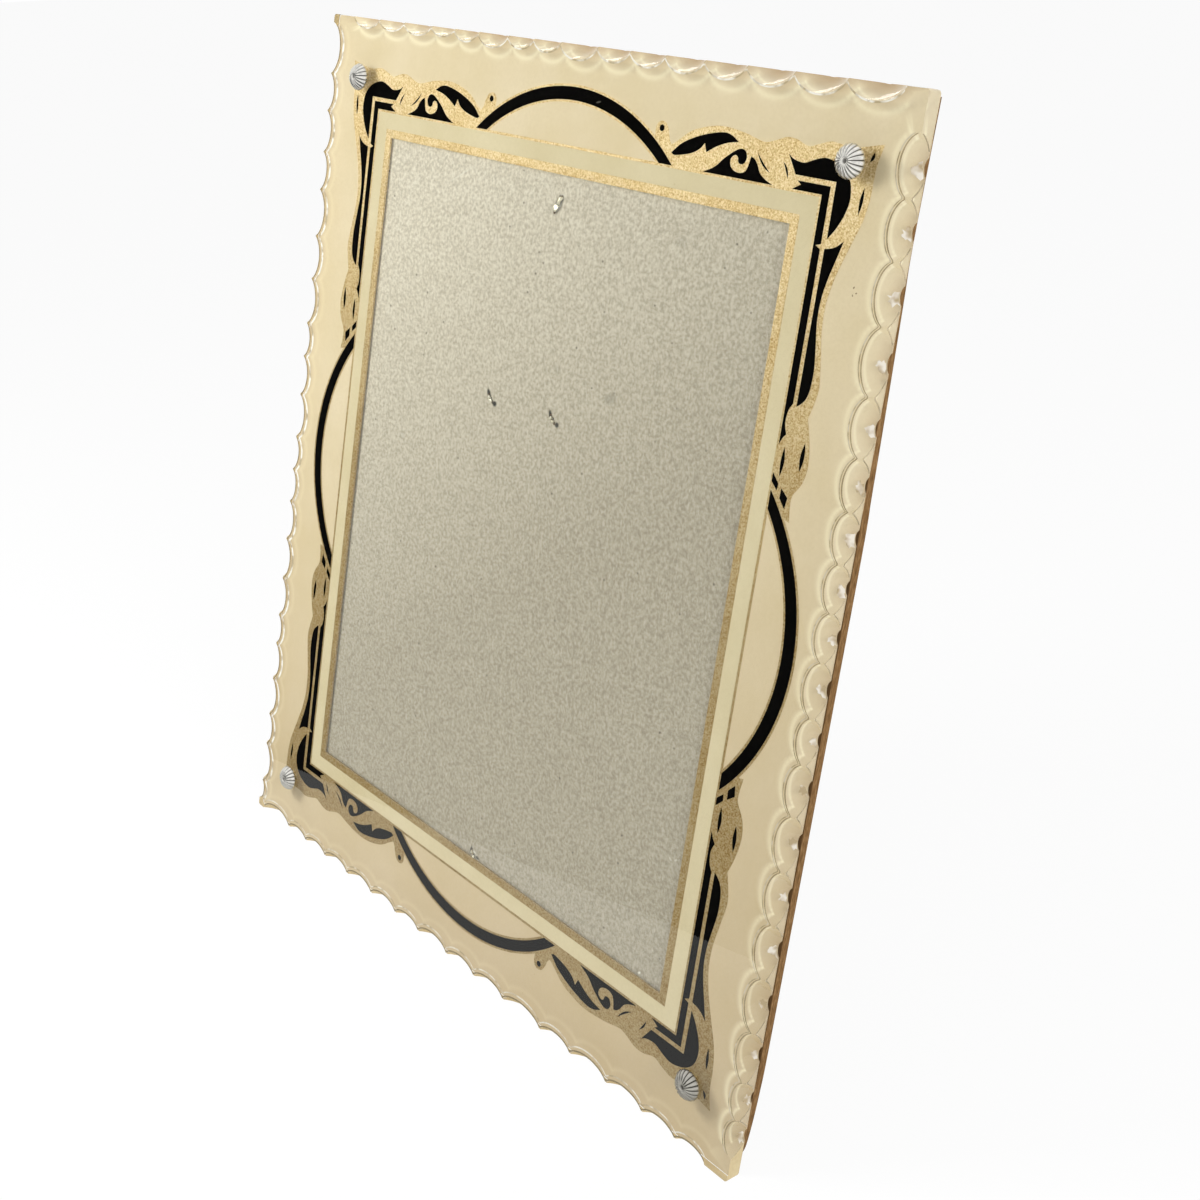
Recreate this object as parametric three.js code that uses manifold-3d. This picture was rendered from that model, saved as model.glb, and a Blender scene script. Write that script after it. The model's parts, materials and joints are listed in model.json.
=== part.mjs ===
// Glass picture frame: a sheet of glass with a chipped edge, painted on its back, pinned by four
// rosettes to a board, and stood on a hinged strut. Millimetres, +Z up, the front faces -Y.

import * as THREE from 'three';
import { mergeVertices } from 'three/addons/utils/BufferGeometryUtils.js';
import Module from 'manifold-3d';

const wasm = await Module();
wasm.setup();

// Sheet of glass and the chips flaked off its edge
const glassWidth = 200.5;
const glassHeight = 240.5;
const glassThickness = 3.8;
const glassCornerRadius = 2.5;
const chipPitch = 11.9;
const chipReach = 3.2;
const chipNotch = 0.8;
const chipUndercut = 0.38;
const chipSizeVariation = 0.14;
const chipFreeCorner = 2.5;
const chipFreeTopRight = 9;

// Paint on the back of the glass, measured outwards from the edge of the clear window
const windowWidth = 141;
const windowHeight = 180;
const paintThickness = 0.3;
const bareRim = 1;
const linerWidth = 2.2;
const bandOffset = 7;
const bandWidth = 5.7;
const bandGapAtArc = 5;
const knotLength = 14;
const arcChordOffset = 7;
const arcRise = 13.6;
const arcOuterRadius = 51.3;
const arcInnerRadius = 50;
const arcThickness = 3.1;

// Board and covering paper behind the glass
const boardThickness = 2.25;
const boardInset = 1.2;
const paperThickness = 0.5;
const paperInset = 1.5;

// Rosettes, their split pins and the washers behind the board
const rosetteInsetX = 15.25;
const rosetteInsetZ = 15.75;
const rosetteDiameter = 7.4;
const rosetteHeight = 2.2;
const rosetteRim = 0.4;
const rosetteDimple = 0.5;
const rosetteDimpleRadius = 0.8;
const rosetteShoulderRadius = 2.45;
const rosetteShoulderDrop = 0.48;
const fluteCount = 18;
const fluteDepth = 0.22;
const pinHeadRadius = 1.3;
const pinHeadThickness = 0.5;
const shankRadius = 0.8;
const pinLegLength = 6;
const pinLegWidth = 1.4;
const pinLegThickness = 0.5;
const washerRadius = 3.2;
const washerThickness = 0.6;

// Hinge and its rivets
const hingeX = -4.3;
const hingeZ = 22;
const hingeWidth = 34;
const hingeLeafHeight = 16;
const middleKnuckleWidth = 14;
const leafThickness = 0.6;
const hingePinRadius = 0.6;
const hingeRivetSpacing = 23.8;
const hingeRivetRise = 10;
const rivetHeadRadius = 1.9;
const rivetHeadThickness = 0.5;
const rivetTipProud = 0.1;

// Strut and the ribbon that stops it
const leanAngle = THREE.MathUtils.degToRad(10.85);
const splayAngle = THREE.MathUtils.degToRad(23);
const strutTopWidth = 38;
const strutFootWidth = 60;
const strutThickness = 2;
const ribbonWidth = 10;
const ribbonThickness = 0.5;
const ribbonTabLength = 11;
const ribbonRivetX = -1;
const ribbonRivetZ = -89.2;

// Ring hanger
const hangerX = -0.8;
const hangerRivetZ = 83.3;
const hangerPlateWidth = 9;
const hangerEyeWidth = 5;
const hangerEyeRise = 6.7;
const hangerPlateDrop = 6;
const ringRadius = 8;
const ringWireRadius = 0.8;

// Clearances: touching pieces, shanks in their holes, and the pin in its knuckles
const seatGap = 0.3;
const holeClearance = 0.3;
const pinClearance = 0.3;

// How finely round shapes are divided
const mergeDistance = 1e-4;
const roundSegments = 8;
const turnedSegments = 12;
const arcDivisions = 24;
const chipSegments = [12, 8];
const ringSegments = [8, 32];

// Depths through the panel, from the front of the glass backwards
const paintFront = glassThickness + seatGap;
const paintBack = paintFront + paintThickness;
const boardFront = paintBack + seatGap;
const boardBack = boardFront + boardThickness;
const paperFront = boardBack + seatGap;
const paperBack = paperFront + paperThickness;
const fittingFront = paperBack + seatGap;
const leafBack = fittingFront + leafThickness;
const knuckleBore = hingePinRadius + pinClearance;
const knuckleRadius = knuckleBore + leafThickness;
const hingeY = fittingFront + knuckleRadius;

// Places shared by several pieces, on the panel's own X and Z
const pinX = glassWidth / 2 - rosetteInsetX;
const pinZ = glassHeight / 2 - rosetteInsetZ;
const hingeRivetZ = hingeZ + hingeRivetRise;
const hangerEyeZ = hangerRivetZ + hangerEyeRise;
const ribbonBendZ = ribbonRivetZ + ribbonTabLength / 2;
const rivetPlaces = [
  [hingeX - hingeRivetSpacing / 2, hingeRivetZ],
  [hingeX + hingeRivetSpacing / 2, hingeRivetZ],
  [hangerX, hangerRivetZ],
  [ribbonRivetX, ribbonRivetZ],
];

// The four sides, each by the turn about Y that brings the top edge to it
const sides = {
  top: { turn: 0, half: windowHeight / 2 },
  right: { turn: Math.PI / 2, half: windowWidth / 2 },
  bottom: { turn: Math.PI, half: windowHeight / 2 },
  left: { turn: -Math.PI / 2, half: windowWidth / 2 },
};
const corners = {
  top_left: [-1, 1],
  top_right: [1, 1],
  bottom_left: [-1, -1],
  bottom_right: [1, -1],
};

const glassFinish = { color: 0xdfe9dc, roughness: 0.05, metalness: 0, transparent: true, opacity: 0.35 };
const creamFinish = { color: 0xe6d6b0, roughness: 0.35, metalness: 0 };
const goldFinish = { color: 0xdcc07c, roughness: 0.4, metalness: 0.7 };
const blackFinish = { color: 0x0a0a08, roughness: 0.2, metalness: 0 };
const boardFinish = { color: 0xc2bcab, roughness: 0.95, metalness: 0 };
const paperFinish = { color: 0x5b4a38, roughness: 0.9, metalness: 0 };
const rosetteFinish = { color: 0xd8dade, roughness: 0.2, metalness: 1 };
const steelFinish = { color: 0x9d9a92, roughness: 0.4, metalness: 1 };
const brassFinish = { color: 0xb4924e, roughness: 0.35, metalness: 1 };
const tapeFinish = { color: 0x2a2724, roughness: 0.95, metalness: 0 };

function toSolid(geometry) {
  const bare = geometry.clone();
  bare.deleteAttribute('normal');
  bare.deleteAttribute('uv');
  const merged = mergeVertices(bare, mergeDistance);
  return new wasm.Manifold(new wasm.Mesh({
    numProp: 3,
    vertProperties: new Float32Array(merged.attributes.position.array),
    triVerts: new Uint32Array(merged.index.array),
  }));
}

function toGeometry(solid) {
  const cut = solid.getMesh();
  const geometry = new THREE.BufferGeometry();
  geometry.setAttribute('position', new THREE.BufferAttribute(cut.vertProperties, 3));
  geometry.setIndex(new THREE.BufferAttribute(cut.triVerts, 1));
  geometry.computeVertexNormals();
  return geometry;
}

function join(geometries) {
  const solids = geometries.map(toSolid);
  return solids.reduce((whole, solid) => whole.add(solid));
}

function place(group, name, geometry, finish) {
  const mesh = new THREE.Mesh(geometry, new THREE.MeshStandardMaterial(finish));
  mesh.name = name;
  group.add(mesh);
}

// A flat piece drawn on X and Z, filling the depths from front to back
function slab(shape, front, back) {
  const geometry = new THREE.ExtrudeGeometry(shape, {
    depth: back - front,
    bevelEnabled: false,
    curveSegments: roundSegments,
  });
  geometry.rotateX(Math.PI / 2);
  geometry.translate(0, back, 0);
  return geometry;
}

function box(width, front, back, low, high) {
  const geometry = new THREE.BoxGeometry(width, back - front, high - low);
  geometry.translate(0, (front + back) / 2, (low + high) / 2);
  return geometry;
}

// A round piece turned about Y, from [radius, depth] steps that start and end on the axis
function turned(steps, segments = turnedSegments) {
  const profile = steps.map(([radius, depth]) => new THREE.Vector2(radius, depth));
  return new THREE.LatheGeometry(profile, segments);
}

function cylinder(radius, front, back) {
  return turned([[0, front], [radius, front], [radius, back], [0, back]]);
}

function rectangle(halfWidth, halfHeight) {
  return [
    new THREE.Vector2(-halfWidth, -halfHeight),
    new THREE.Vector2(halfWidth, -halfHeight),
    new THREE.Vector2(halfWidth, halfHeight),
    new THREE.Vector2(-halfWidth, halfHeight),
  ];
}

function punch(shape, x, z, radius) {
  const hole = new THREE.Path();
  hole.absarc(x, z, radius, 0, Math.PI * 2, true);
  shape.holes.push(hole);
}

function punchPins(shape, radius) {
  for (const [signX, signZ] of Object.values(corners)) {
    punch(shape, signX * pinX, signZ * pinZ, radius);
  }
}

// A steady wave from -1 to 1, so that no two neighbouring chips are alike
function vary(index, salt) {
  const stepTurn = 2.4;
  const saltTurn = 1.7;
  return Math.sin(index * stepTurn + salt * saltTurn);
}

// An ellipsoid that leaves a shell-shaped chip when cut from the edge: widest on the front face,
// and just nicking the back edge
function chipCutter(halfWidth, reach) {
  const depth = glassThickness + chipUndercut;
  const backShare = Math.sqrt(1 - (glassThickness / depth) ** 2);
  const inward = (reach - chipNotch) / (1 - backShare);
  const centre = reach - inward;
  const along = halfWidth / Math.sqrt(1 - (centre / inward) ** 2);
  const cutter = new THREE.SphereGeometry(1, ...chipSegments);
  cutter.rotateZ(Math.PI / 2);
  cutter.scale(along, depth, inward);
  cutter.translate(0, 0, -centre);
  return cutter;
}

function chipSide(turn, length, halfDepth, freeStart, freeEnd, salt) {
  const run = length - freeStart - freeEnd;
  const count = Math.round(run / chipPitch);
  const pitch = run / count;
  const cutters = [];
  for (let index = 0; index < count; index += 1) {
    const size = 1 + chipSizeVariation * vary(index, salt);
    const cutter = chipCutter((pitch / 2) * size, chipReach * size);
    cutter.translate(-length / 2 + freeStart + (index + 0.5) * pitch, 0, halfDepth);
    cutter.rotateY(turn);
    cutters.push(cutter);
  }
  return cutters;
}

function glassPanel() {
  const w = glassWidth / 2;
  const h = glassHeight / 2;
  const r = glassCornerRadius;
  const outline = new THREE.Shape();
  outline.absarc(w - r, h - r, r, 0, Math.PI / 2);
  outline.absarc(-w + r, h - r, r, Math.PI / 2, Math.PI);
  outline.absarc(-w + r, -h + r, r, Math.PI, Math.PI * 1.5);
  outline.absarc(w - r, -h + r, r, Math.PI * 1.5, Math.PI * 2);
  punchPins(outline, shankRadius + 2 * holeClearance);
  const cutters = [
    ...chipSide(sides.top.turn, glassWidth, h, chipFreeCorner, chipFreeTopRight, 0),
    ...chipSide(sides.right.turn, glassHeight, w, chipFreeCorner, chipFreeCorner, 1),
    ...chipSide(sides.bottom.turn, glassWidth, h, chipFreeCorner, chipFreeCorner, 2),
    ...chipSide(sides.left.turn, glassHeight, w, chipFreeCorner, chipFreeCorner, 3),
  ];
  const sheet = toSolid(slab(outline, 0, glassThickness));
  return toGeometry(sheet.subtract(join(cutters)));
}

// Carries [along, outwards] points, measured from the middle of a window edge, to one side
function onSide(points, side) {
  const sine = Math.sin(side.turn);
  const cosine = Math.cos(side.turn);
  return points.map(([along, outwards]) => new THREE.Vector2(
    cosine * along + sine * (side.half + outwards),
    -sine * along + cosine * (side.half + outwards),
  ));
}

// Half of the angle that a circle spans above a chord
function halfSpan(radius, centre, chord) {
  return Math.acos((chord - centre) / radius);
}

// Crescent between two circles and the chord they stand on, grown outwards by an allowance
function crescent(side, allowance) {
  const peak = arcChordOffset + arcRise;
  const chord = arcChordOffset - allowance;
  const outerRadius = arcOuterRadius + allowance;
  const innerRadius = arcInnerRadius - allowance;
  const outerCentre = peak - arcOuterRadius;
  const innerCentre = peak - arcThickness - arcInnerRadius;
  const outerSpan = halfSpan(outerRadius, outerCentre, chord);
  const innerSpan = halfSpan(innerRadius, innerCentre, chord);
  const points = [];
  for (let step = 0; step <= arcDivisions; step += 1) {
    const angle = outerSpan * (1 - (2 * step) / arcDivisions);
    points.push([outerRadius * Math.sin(angle), outerCentre + outerRadius * Math.cos(angle)]);
  }
  for (let step = 0; step <= arcDivisions; step += 1) {
    const angle = innerSpan * ((2 * step) / arcDivisions - 1);
    points.push([innerRadius * Math.sin(angle), innerCentre + innerRadius * Math.cos(angle)]);
  }
  return onSide(points, side);
}

// Black band round a corner of the window, stopping short of the arcs, grown by an allowance
function cornerBand([signX, signZ], allowance) {
  const outerRise = arcOuterRadius - arcRise;
  const arcFoot = Math.sqrt(arcOuterRadius ** 2 - outerRise ** 2);
  const innerX = windowWidth / 2 + bandOffset - allowance;
  const innerZ = windowHeight / 2 + bandOffset - allowance;
  const outerX = windowWidth / 2 + bandOffset + bandWidth + allowance;
  const outerZ = windowHeight / 2 + bandOffset + bandWidth + allowance;
  const endX = arcFoot + bandGapAtArc - allowance;
  const endZ = arcFoot + knotLength - allowance;
  const points = [
    [endX, innerZ],
    [endX, outerZ],
    [outerX, outerZ],
    [outerX, endZ],
    [innerX, endZ],
    [innerX, innerZ],
  ];
  return points.map(([x, z]) => new THREE.Vector2(signX * x, signZ * z));
}

function goldLiner() {
  const w = windowWidth / 2;
  const h = windowHeight / 2;
  const shape = new THREE.Shape(rectangle(w + linerWidth, h + linerWidth));
  shape.holes.push(new THREE.Path(rectangle(w, h)));
  return slab(shape, paintFront, paintBack);
}

// Cream paint, cut away for the window, the liner and the black shapes that lie in it
function paintedMat() {
  const front = paintFront - seatGap;
  const back = paintBack + seatGap;
  const opening = linerWidth + seatGap;
  const openings = [
    rectangle(windowWidth / 2 + opening, windowHeight / 2 + opening),
    ...Object.values(sides).map((side) => crescent(side, seatGap)),
    ...Object.values(corners).map((signs) => cornerBand(signs, seatGap)),
  ];
  const cutters = openings.map((points) => slab(new THREE.Shape(points), front, back));
  for (const [signX, signZ] of Object.values(corners)) {
    const pinHole = cylinder(shankRadius + 2 * holeClearance, front, back);
    pinHole.translate(signX * pinX, 0, signZ * pinZ);
    cutters.push(pinHole);
  }
  const sheet = new THREE.Shape(rectangle(glassWidth / 2 - bareRim, glassHeight / 2 - bareRim));
  return toGeometry(toSolid(slab(sheet, paintFront, paintBack)).subtract(join(cutters)));
}

function backSheet(inset, front, back) {
  const shape = new THREE.Shape(rectangle(glassWidth / 2 - inset, glassHeight / 2 - inset));
  punchPins(shape, shankRadius + holeClearance);
  for (const [x, z] of rivetPlaces) {
    punch(shape, x, z, shankRadius + holeClearance);
  }
  return slab(shape, front, back);
}

// Domed cap, hollow underneath for the pin's head, with flutes running out from a dimple
function rosetteCap() {
  const radius = rosetteDiameter / 2;
  const recessRadius = pinHeadRadius + holeClearance;
  const recessDepth = pinHeadThickness + 2 * seatGap;
  const steps = [
    [0, -seatGap - rosetteHeight + rosetteDimple],
    [rosetteDimpleRadius, -seatGap - rosetteHeight],
    [rosetteShoulderRadius, -seatGap - rosetteHeight + rosetteShoulderDrop],
    [radius, -seatGap - rosetteRim],
    [radius, -seatGap],
    [recessRadius, -seatGap],
    [recessRadius, -seatGap - recessDepth],
    [0, -seatGap - recessDepth],
  ];
  const cap = turned(steps, fluteCount * 2);
  const shoulderRow = 2;
  const rimRows = [3, 4];
  const rimShare = 1 - fluteDepth / radius;
  const corner = cap.attributes.position;
  for (let index = 0; index < corner.count; index += 1) {
    const inFlute = Math.floor(index / steps.length) % 2 === 1;
    const row = index % steps.length;
    if (inFlute && row === shoulderRow) {
      corner.setY(index, corner.getY(index) + fluteDepth);
    }
    if (inFlute && rimRows.includes(row)) {
      corner.setX(index, corner.getX(index) * rimShare);
      corner.setZ(index, corner.getZ(index) * rimShare);
    }
  }
  return cap;
}

// Split pin: a head in the cap, a shank through the whole panel and two legs bent out flat
function rosettePin() {
  const headBack = -seatGap;
  const legFront = fittingFront + washerThickness + seatGap;
  const legBack = legFront + pinLegThickness;
  const shank = turned([
    [0, headBack - pinHeadThickness],
    [pinHeadRadius, headBack - pinHeadThickness],
    [pinHeadRadius, headBack],
    [shankRadius, headBack],
    [shankRadius, legBack],
    [0, legBack],
  ]);
  const legs = box(2 * pinLegLength, legFront, legBack, -pinLegWidth / 2, pinLegWidth / 2);
  return toGeometry(join([shank, legs]));
}

function pinWasher() {
  const shape = new THREE.Shape();
  shape.absarc(0, 0, washerRadius, 0, Math.PI * 2, false);
  punch(shape, 0, 0, shankRadius + holeClearance);
  return slab(shape, fittingFront, fittingFront + washerThickness);
}

// Rivet through a fitting: its head at headFront, and a plain tip
function rivet(tip, headFront) {
  return turned([
    [0, tip],
    [shankRadius, tip],
    [shankRadius, headFront],
    [rivetHeadRadius, headFront],
    [rivetHeadRadius, headFront + rivetHeadThickness],
    [0, headFront + rivetHeadThickness],
  ]);
}

function tubeAlongX(outer, inner, start, end) {
  const shape = new THREE.Shape();
  shape.absarc(0, 0, outer, 0, Math.PI * 2, false);
  punch(shape, 0, 0, inner);
  const tube = new THREE.ExtrudeGeometry(shape, {
    depth: end - start,
    bevelEnabled: false,
    curveSegments: roundSegments,
  });
  tube.rotateY(Math.PI / 2);
  tube.translate(start, 0, 0);
  return tube;
}

// Leaf above the hinge line, with the two outer knuckles; the hinge line is at Y and Z zero
function hingeFixedLeaf() {
  const w = hingeWidth / 2;
  const neck = middleKnuckleWidth / 2 + seatGap;
  const start = knuckleRadius + seatGap;
  const shape = new THREE.Shape([
    new THREE.Vector2(-w, 0),
    new THREE.Vector2(-neck, 0),
    new THREE.Vector2(-neck, start),
    new THREE.Vector2(neck, start),
    new THREE.Vector2(neck, 0),
    new THREE.Vector2(w, 0),
    new THREE.Vector2(w, hingeLeafHeight),
    new THREE.Vector2(-w, hingeLeafHeight),
  ]);
  punch(shape, -hingeRivetSpacing / 2, hingeRivetRise, shankRadius + holeClearance);
  punch(shape, hingeRivetSpacing / 2, hingeRivetRise, shankRadius + holeClearance);
  return toGeometry(join([
    slab(shape, -knuckleRadius, -knuckleBore),
    tubeAlongX(knuckleRadius, knuckleBore, -w, -neck),
    tubeAlongX(knuckleRadius, knuckleBore, neck, w),
  ]));
}

// Leaf below the hinge line, on the back of the strut, with the middle knuckle
function hingeMovingLeaf() {
  const w = hingeWidth / 2;
  const neck = middleKnuckleWidth / 2;
  const start = -knuckleRadius - seatGap;
  const shape = new THREE.Shape([
    new THREE.Vector2(-w, -hingeLeafHeight),
    new THREE.Vector2(w, -hingeLeafHeight),
    new THREE.Vector2(w, start),
    new THREE.Vector2(neck, start),
    new THREE.Vector2(neck, 0),
    new THREE.Vector2(-neck, 0),
    new THREE.Vector2(-neck, start),
    new THREE.Vector2(-w, start),
  ]);
  punch(shape, -hingeRivetSpacing / 2, -hingeRivetRise, shankRadius + holeClearance);
  punch(shape, hingeRivetSpacing / 2, -hingeRivetRise, shankRadius + holeClearance);
  return toGeometry(join([
    slab(shape, knuckleBore, knuckleRadius),
    tubeAlongX(knuckleRadius, knuckleBore, -neck, neck),
  ]));
}

function hingePin() {
  const pin = cylinder(hingePinRadius, -hingeWidth / 2, hingeWidth / 2);
  pin.rotateZ(-Math.PI / 2);
  return pin;
}

// Where a panel point stands once the panel leans back about X
function leaned(y, z) {
  const sine = Math.sin(leanAngle);
  const cosine = Math.cos(leanAngle);
  return new THREE.Vector2(y * cosine + z * sine, z * cosine - y * sine);
}

const floorZ = leaned(glassThickness, -glassHeight / 2).y;
const hingeLine = leaned(hingeY, hingeZ);
const strutTurn = splayAngle - leanAngle;
const strutBack = knuckleBore - seatGap;
const strutFront = strutBack - strutThickness;

// Depth below the hinge line at which the strut's foot meets the floor, along the strut
function footAt(y) {
  return (floorZ - hingeLine.y - y * Math.sin(strutTurn)) / Math.cos(strutTurn);
}

// Tapered strut whose foot is cut flat to the floor
function easelStrut() {
  const top = -knuckleRadius - seatGap;
  const foot = footAt(0);
  const shape = new THREE.Shape([
    new THREE.Vector2(-strutFootWidth / 2, foot),
    new THREE.Vector2(strutFootWidth / 2, foot),
    new THREE.Vector2(strutTopWidth / 2, top),
    new THREE.Vector2(-strutTopWidth / 2, top),
  ]);
  const radius = shankRadius + holeClearance;
  punch(shape, -hingeRivetSpacing / 2, -hingeRivetRise, radius);
  punch(shape, hingeRivetSpacing / 2, -hingeRivetRise, radius);
  punch(shape, ribbonRivetX - hingeX, ribbonRivetZ - hingeZ, radius);
  const strut = slab(shape, strutFront, strutBack);
  const corner = strut.attributes.position;
  for (let index = 0; index < corner.count; index += 1) {
    if (corner.getZ(index) < foot + mergeDistance) {
      corner.setZ(index, footAt(corner.getY(index)));
    }
  }
  return strut;
}

// Rivet head in front of the strut, over the ribbon, with its tip at the back of the strut
function ribbonStrutRivet() {
  const headBack = strutFront - 2 * seatGap - ribbonThickness;
  return turned([
    [0, headBack - rivetHeadThickness],
    [rivetHeadRadius, headBack - rivetHeadThickness],
    [rivetHeadRadius, headBack],
    [shankRadius, headBack],
    [shankRadius, strutBack],
    [0, strutBack],
  ]);
}

function strutPoint(y, z) {
  const sine = Math.sin(strutTurn);
  const cosine = Math.cos(strutTurn);
  return new THREE.Vector2(hingeLine.x + y * cosine - z * sine, hingeLine.y + z * cosine + y * sine);
}

// Outline of a strip of even thickness that follows a bent line
function stripOutline(line, thickness) {
  const left = [];
  const right = [];
  line.forEach((point, index) => {
    const before = line[Math.max(index - 1, 0)];
    const after = line[Math.min(index + 1, line.length - 1)];
    const arriving = point.clone().sub(before).normalize();
    const leaving = after.clone().sub(point).normalize();
    const along = arriving.clone().add(leaving).normalize();
    const across = new THREE.Vector2(-along.y, along.x);
    const reference = index === 0 ? leaving : arriving;
    const half = thickness / 2 / Math.abs(along.dot(reference));
    left.push(point.clone().addScaledVector(across, half));
    right.unshift(point.clone().addScaledVector(across, -half));
  });
  return [...left, ...right];
}

// Cloth tape, flat on the board and on the strut at its ends and drawn tight between them
function stayRibbon() {
  const reach = ribbonBendZ - hingeZ;
  const onBoard = fittingFront + ribbonThickness / 2;
  const onStrut = strutFront - seatGap - ribbonThickness / 2;
  const line = [
    leaned(onBoard, ribbonBendZ - ribbonTabLength),
    leaned(onBoard, ribbonBendZ),
    strutPoint(onStrut, reach),
    strutPoint(onStrut, reach - ribbonTabLength),
  ];
  const shape = new THREE.Shape(stripOutline(line, ribbonThickness));
  const strip = new THREE.ExtrudeGeometry(shape, { depth: ribbonWidth, bevelEnabled: false });
  strip.applyMatrix4(new THREE.Matrix4().set(
    0, 0, 1, ribbonRivetX - ribbonWidth / 2,
    1, 0, 0, 0,
    0, 1, 0, 0,
    0, 0, 0, 1,
  ));
  const radius = shankRadius + holeClearance;
  const boardHole = cylinder(radius, fittingFront - seatGap, fittingFront + ribbonThickness + seatGap);
  boardHole.translate(ribbonRivetX, 0, ribbonRivetZ);
  boardHole.rotateX(-leanAngle);
  const strutHole = cylinder(radius, onStrut - ribbonThickness, onStrut + ribbonThickness);
  strutHole.translate(ribbonRivetX, 0, ribbonRivetZ - hingeZ);
  strutHole.rotateX(strutTurn);
  strutHole.translate(0, hingeLine.x, hingeLine.y);
  return toGeometry(toSolid(strip).subtract(toSolid(boardHole)).subtract(toSolid(strutHole)));
}

const eyeSag = ringRadius - Math.sqrt(ringRadius ** 2 - (hangerEyeWidth / 2) ** 2);
const eyeBore = ringWireRadius + eyeSag + pinClearance;
const eyeRadius = eyeBore + leafThickness;
const hangerEyeY = fittingFront + eyeRadius;

// Riveted plate with a rolled eye for the ring; the eye's axis is at Y and Z zero
function hangerClip() {
  const w = hangerPlateWidth / 2;
  const neck = hangerEyeWidth / 2;
  const shoulder = -eyeRadius;
  const bottom = -hangerEyeRise - hangerPlateDrop;
  const shape = new THREE.Shape([
    new THREE.Vector2(-w, bottom),
    new THREE.Vector2(w, bottom),
    new THREE.Vector2(w, shoulder),
    new THREE.Vector2(neck, shoulder),
    new THREE.Vector2(neck, 0),
    new THREE.Vector2(-neck, 0),
    new THREE.Vector2(-neck, shoulder),
    new THREE.Vector2(-w, shoulder),
  ]);
  punch(shape, 0, -hangerEyeRise, shankRadius + holeClearance);
  return toGeometry(join([
    slab(shape, -eyeRadius, -eyeBore),
    tubeAlongX(eyeRadius, eyeBore, -neck, neck),
  ]));
}

// Ring that hangs from the eye; its top passes through the origin
function hangerRing() {
  const ring = new THREE.TorusGeometry(ringRadius, ringWireRadius, ...ringSegments);
  ring.rotateX(Math.PI / 2);
  ring.translate(0, 0, -ringRadius);
  return ring;
}

function buildPanel() {
  const panel = new THREE.Group();
  place(panel, 'glass_panel', glassPanel(), glassFinish);
  place(panel, 'painted_mat', paintedMat(), creamFinish);
  place(panel, 'gold_liner', goldLiner(), goldFinish);
  for (const [name, side] of Object.entries(sides)) {
    const shape = new THREE.Shape(crescent(side, 0));
    place(panel, `black_arc_${name}`, slab(shape, paintFront, paintBack), blackFinish);
  }
  for (const [name, signs] of Object.entries(corners)) {
    const shape = new THREE.Shape(cornerBand(signs, 0));
    place(panel, `black_band_${name}`, slab(shape, paintFront, paintBack), blackFinish);
  }
  place(panel, 'backboard', backSheet(boardInset, boardFront, boardBack), boardFinish);
  place(panel, 'back_paper', backSheet(paperInset, paperFront, paperBack), paperFinish);
  for (const [name, [signX, signZ]] of Object.entries(corners)) {
    const corner = new THREE.Group();
    corner.position.set(signX * pinX, 0, signZ * pinZ);
    place(corner, `rosette_cap_${name}`, rosetteCap(), rosetteFinish);
    place(corner, `rosette_pin_${name}`, rosettePin(), brassFinish);
    place(corner, `pin_washer_${name}`, pinWasher(), steelFinish);
    panel.add(corner);
  }
  const hinge = new THREE.Group();
  hinge.position.set(hingeX, hingeY, hingeZ);
  place(hinge, 'hinge_fixed_leaf', hingeFixedLeaf(), steelFinish);
  place(hinge, 'hinge_pin', hingePin(), steelFinish);
  const hanger = new THREE.Group();
  hanger.position.set(hangerX, hangerEyeY, hangerEyeZ);
  place(hanger, 'hanger_clip', hangerClip(), brassFinish);
  panel.add(hinge, hanger);
  const tip = boardFront - rivetTipProud;
  const heads = [leafBack, leafBack, leafBack, fittingFront + ribbonThickness];
  const names = ['hinge_rivet_left', 'hinge_rivet_right', 'hanger_rivet', 'ribbon_board_rivet'];
  names.forEach((name, index) => {
    const [x, z] = rivetPlaces[index];
    const geometry = rivet(tip, heads[index] + seatGap);
    geometry.translate(x, 0, z);
    place(panel, name, geometry, brassFinish);
  });
  panel.rotation.x = -leanAngle;
  return panel;
}

function buildStrut() {
  const strut = new THREE.Group();
  strut.position.set(hingeX, hingeLine.x, hingeLine.y);
  strut.rotation.x = strutTurn;
  place(strut, 'easel_strut', easelStrut(), paperFinish);
  place(strut, 'hinge_moving_leaf', hingeMovingLeaf(), steelFinish);
  for (const [name, sign] of [['left', -1], ['right', 1]]) {
    const geometry = rivet(strutFront, knuckleRadius + seatGap);
    geometry.translate((sign * hingeRivetSpacing) / 2, 0, -hingeRivetRise);
    place(strut, `strut_rivet_${name}`, geometry, brassFinish);
  }
  const stop = ribbonStrutRivet();
  stop.translate(ribbonRivetX - hingeX, 0, ribbonRivetZ - hingeZ);
  place(strut, 'ribbon_strut_rivet', stop, brassFinish);
  return strut;
}

function buildRing() {
  const hang = new THREE.Group();
  const eye = leaned(hangerEyeY, hangerEyeZ);
  hang.position.set(hangerX, eye.x, eye.y);
  place(hang, 'hanger_ring', hangerRing(), brassFinish);
  return hang;
}

const model = new THREE.Group();
model.add(buildPanel(), buildStrut(), buildRing());
place(model, 'stay_ribbon', stayRibbon(), tapeFinish);

// The origin is under the middle of the frame, on the surface it stands on
model.updateMatrixWorld(true);
const extent = new THREE.Box3().setFromObject(model, true);
const middle = extent.getCenter(new THREE.Vector3());
model.position.set(-middle.x, -middle.y, -extent.min.z);

export default model;
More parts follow.
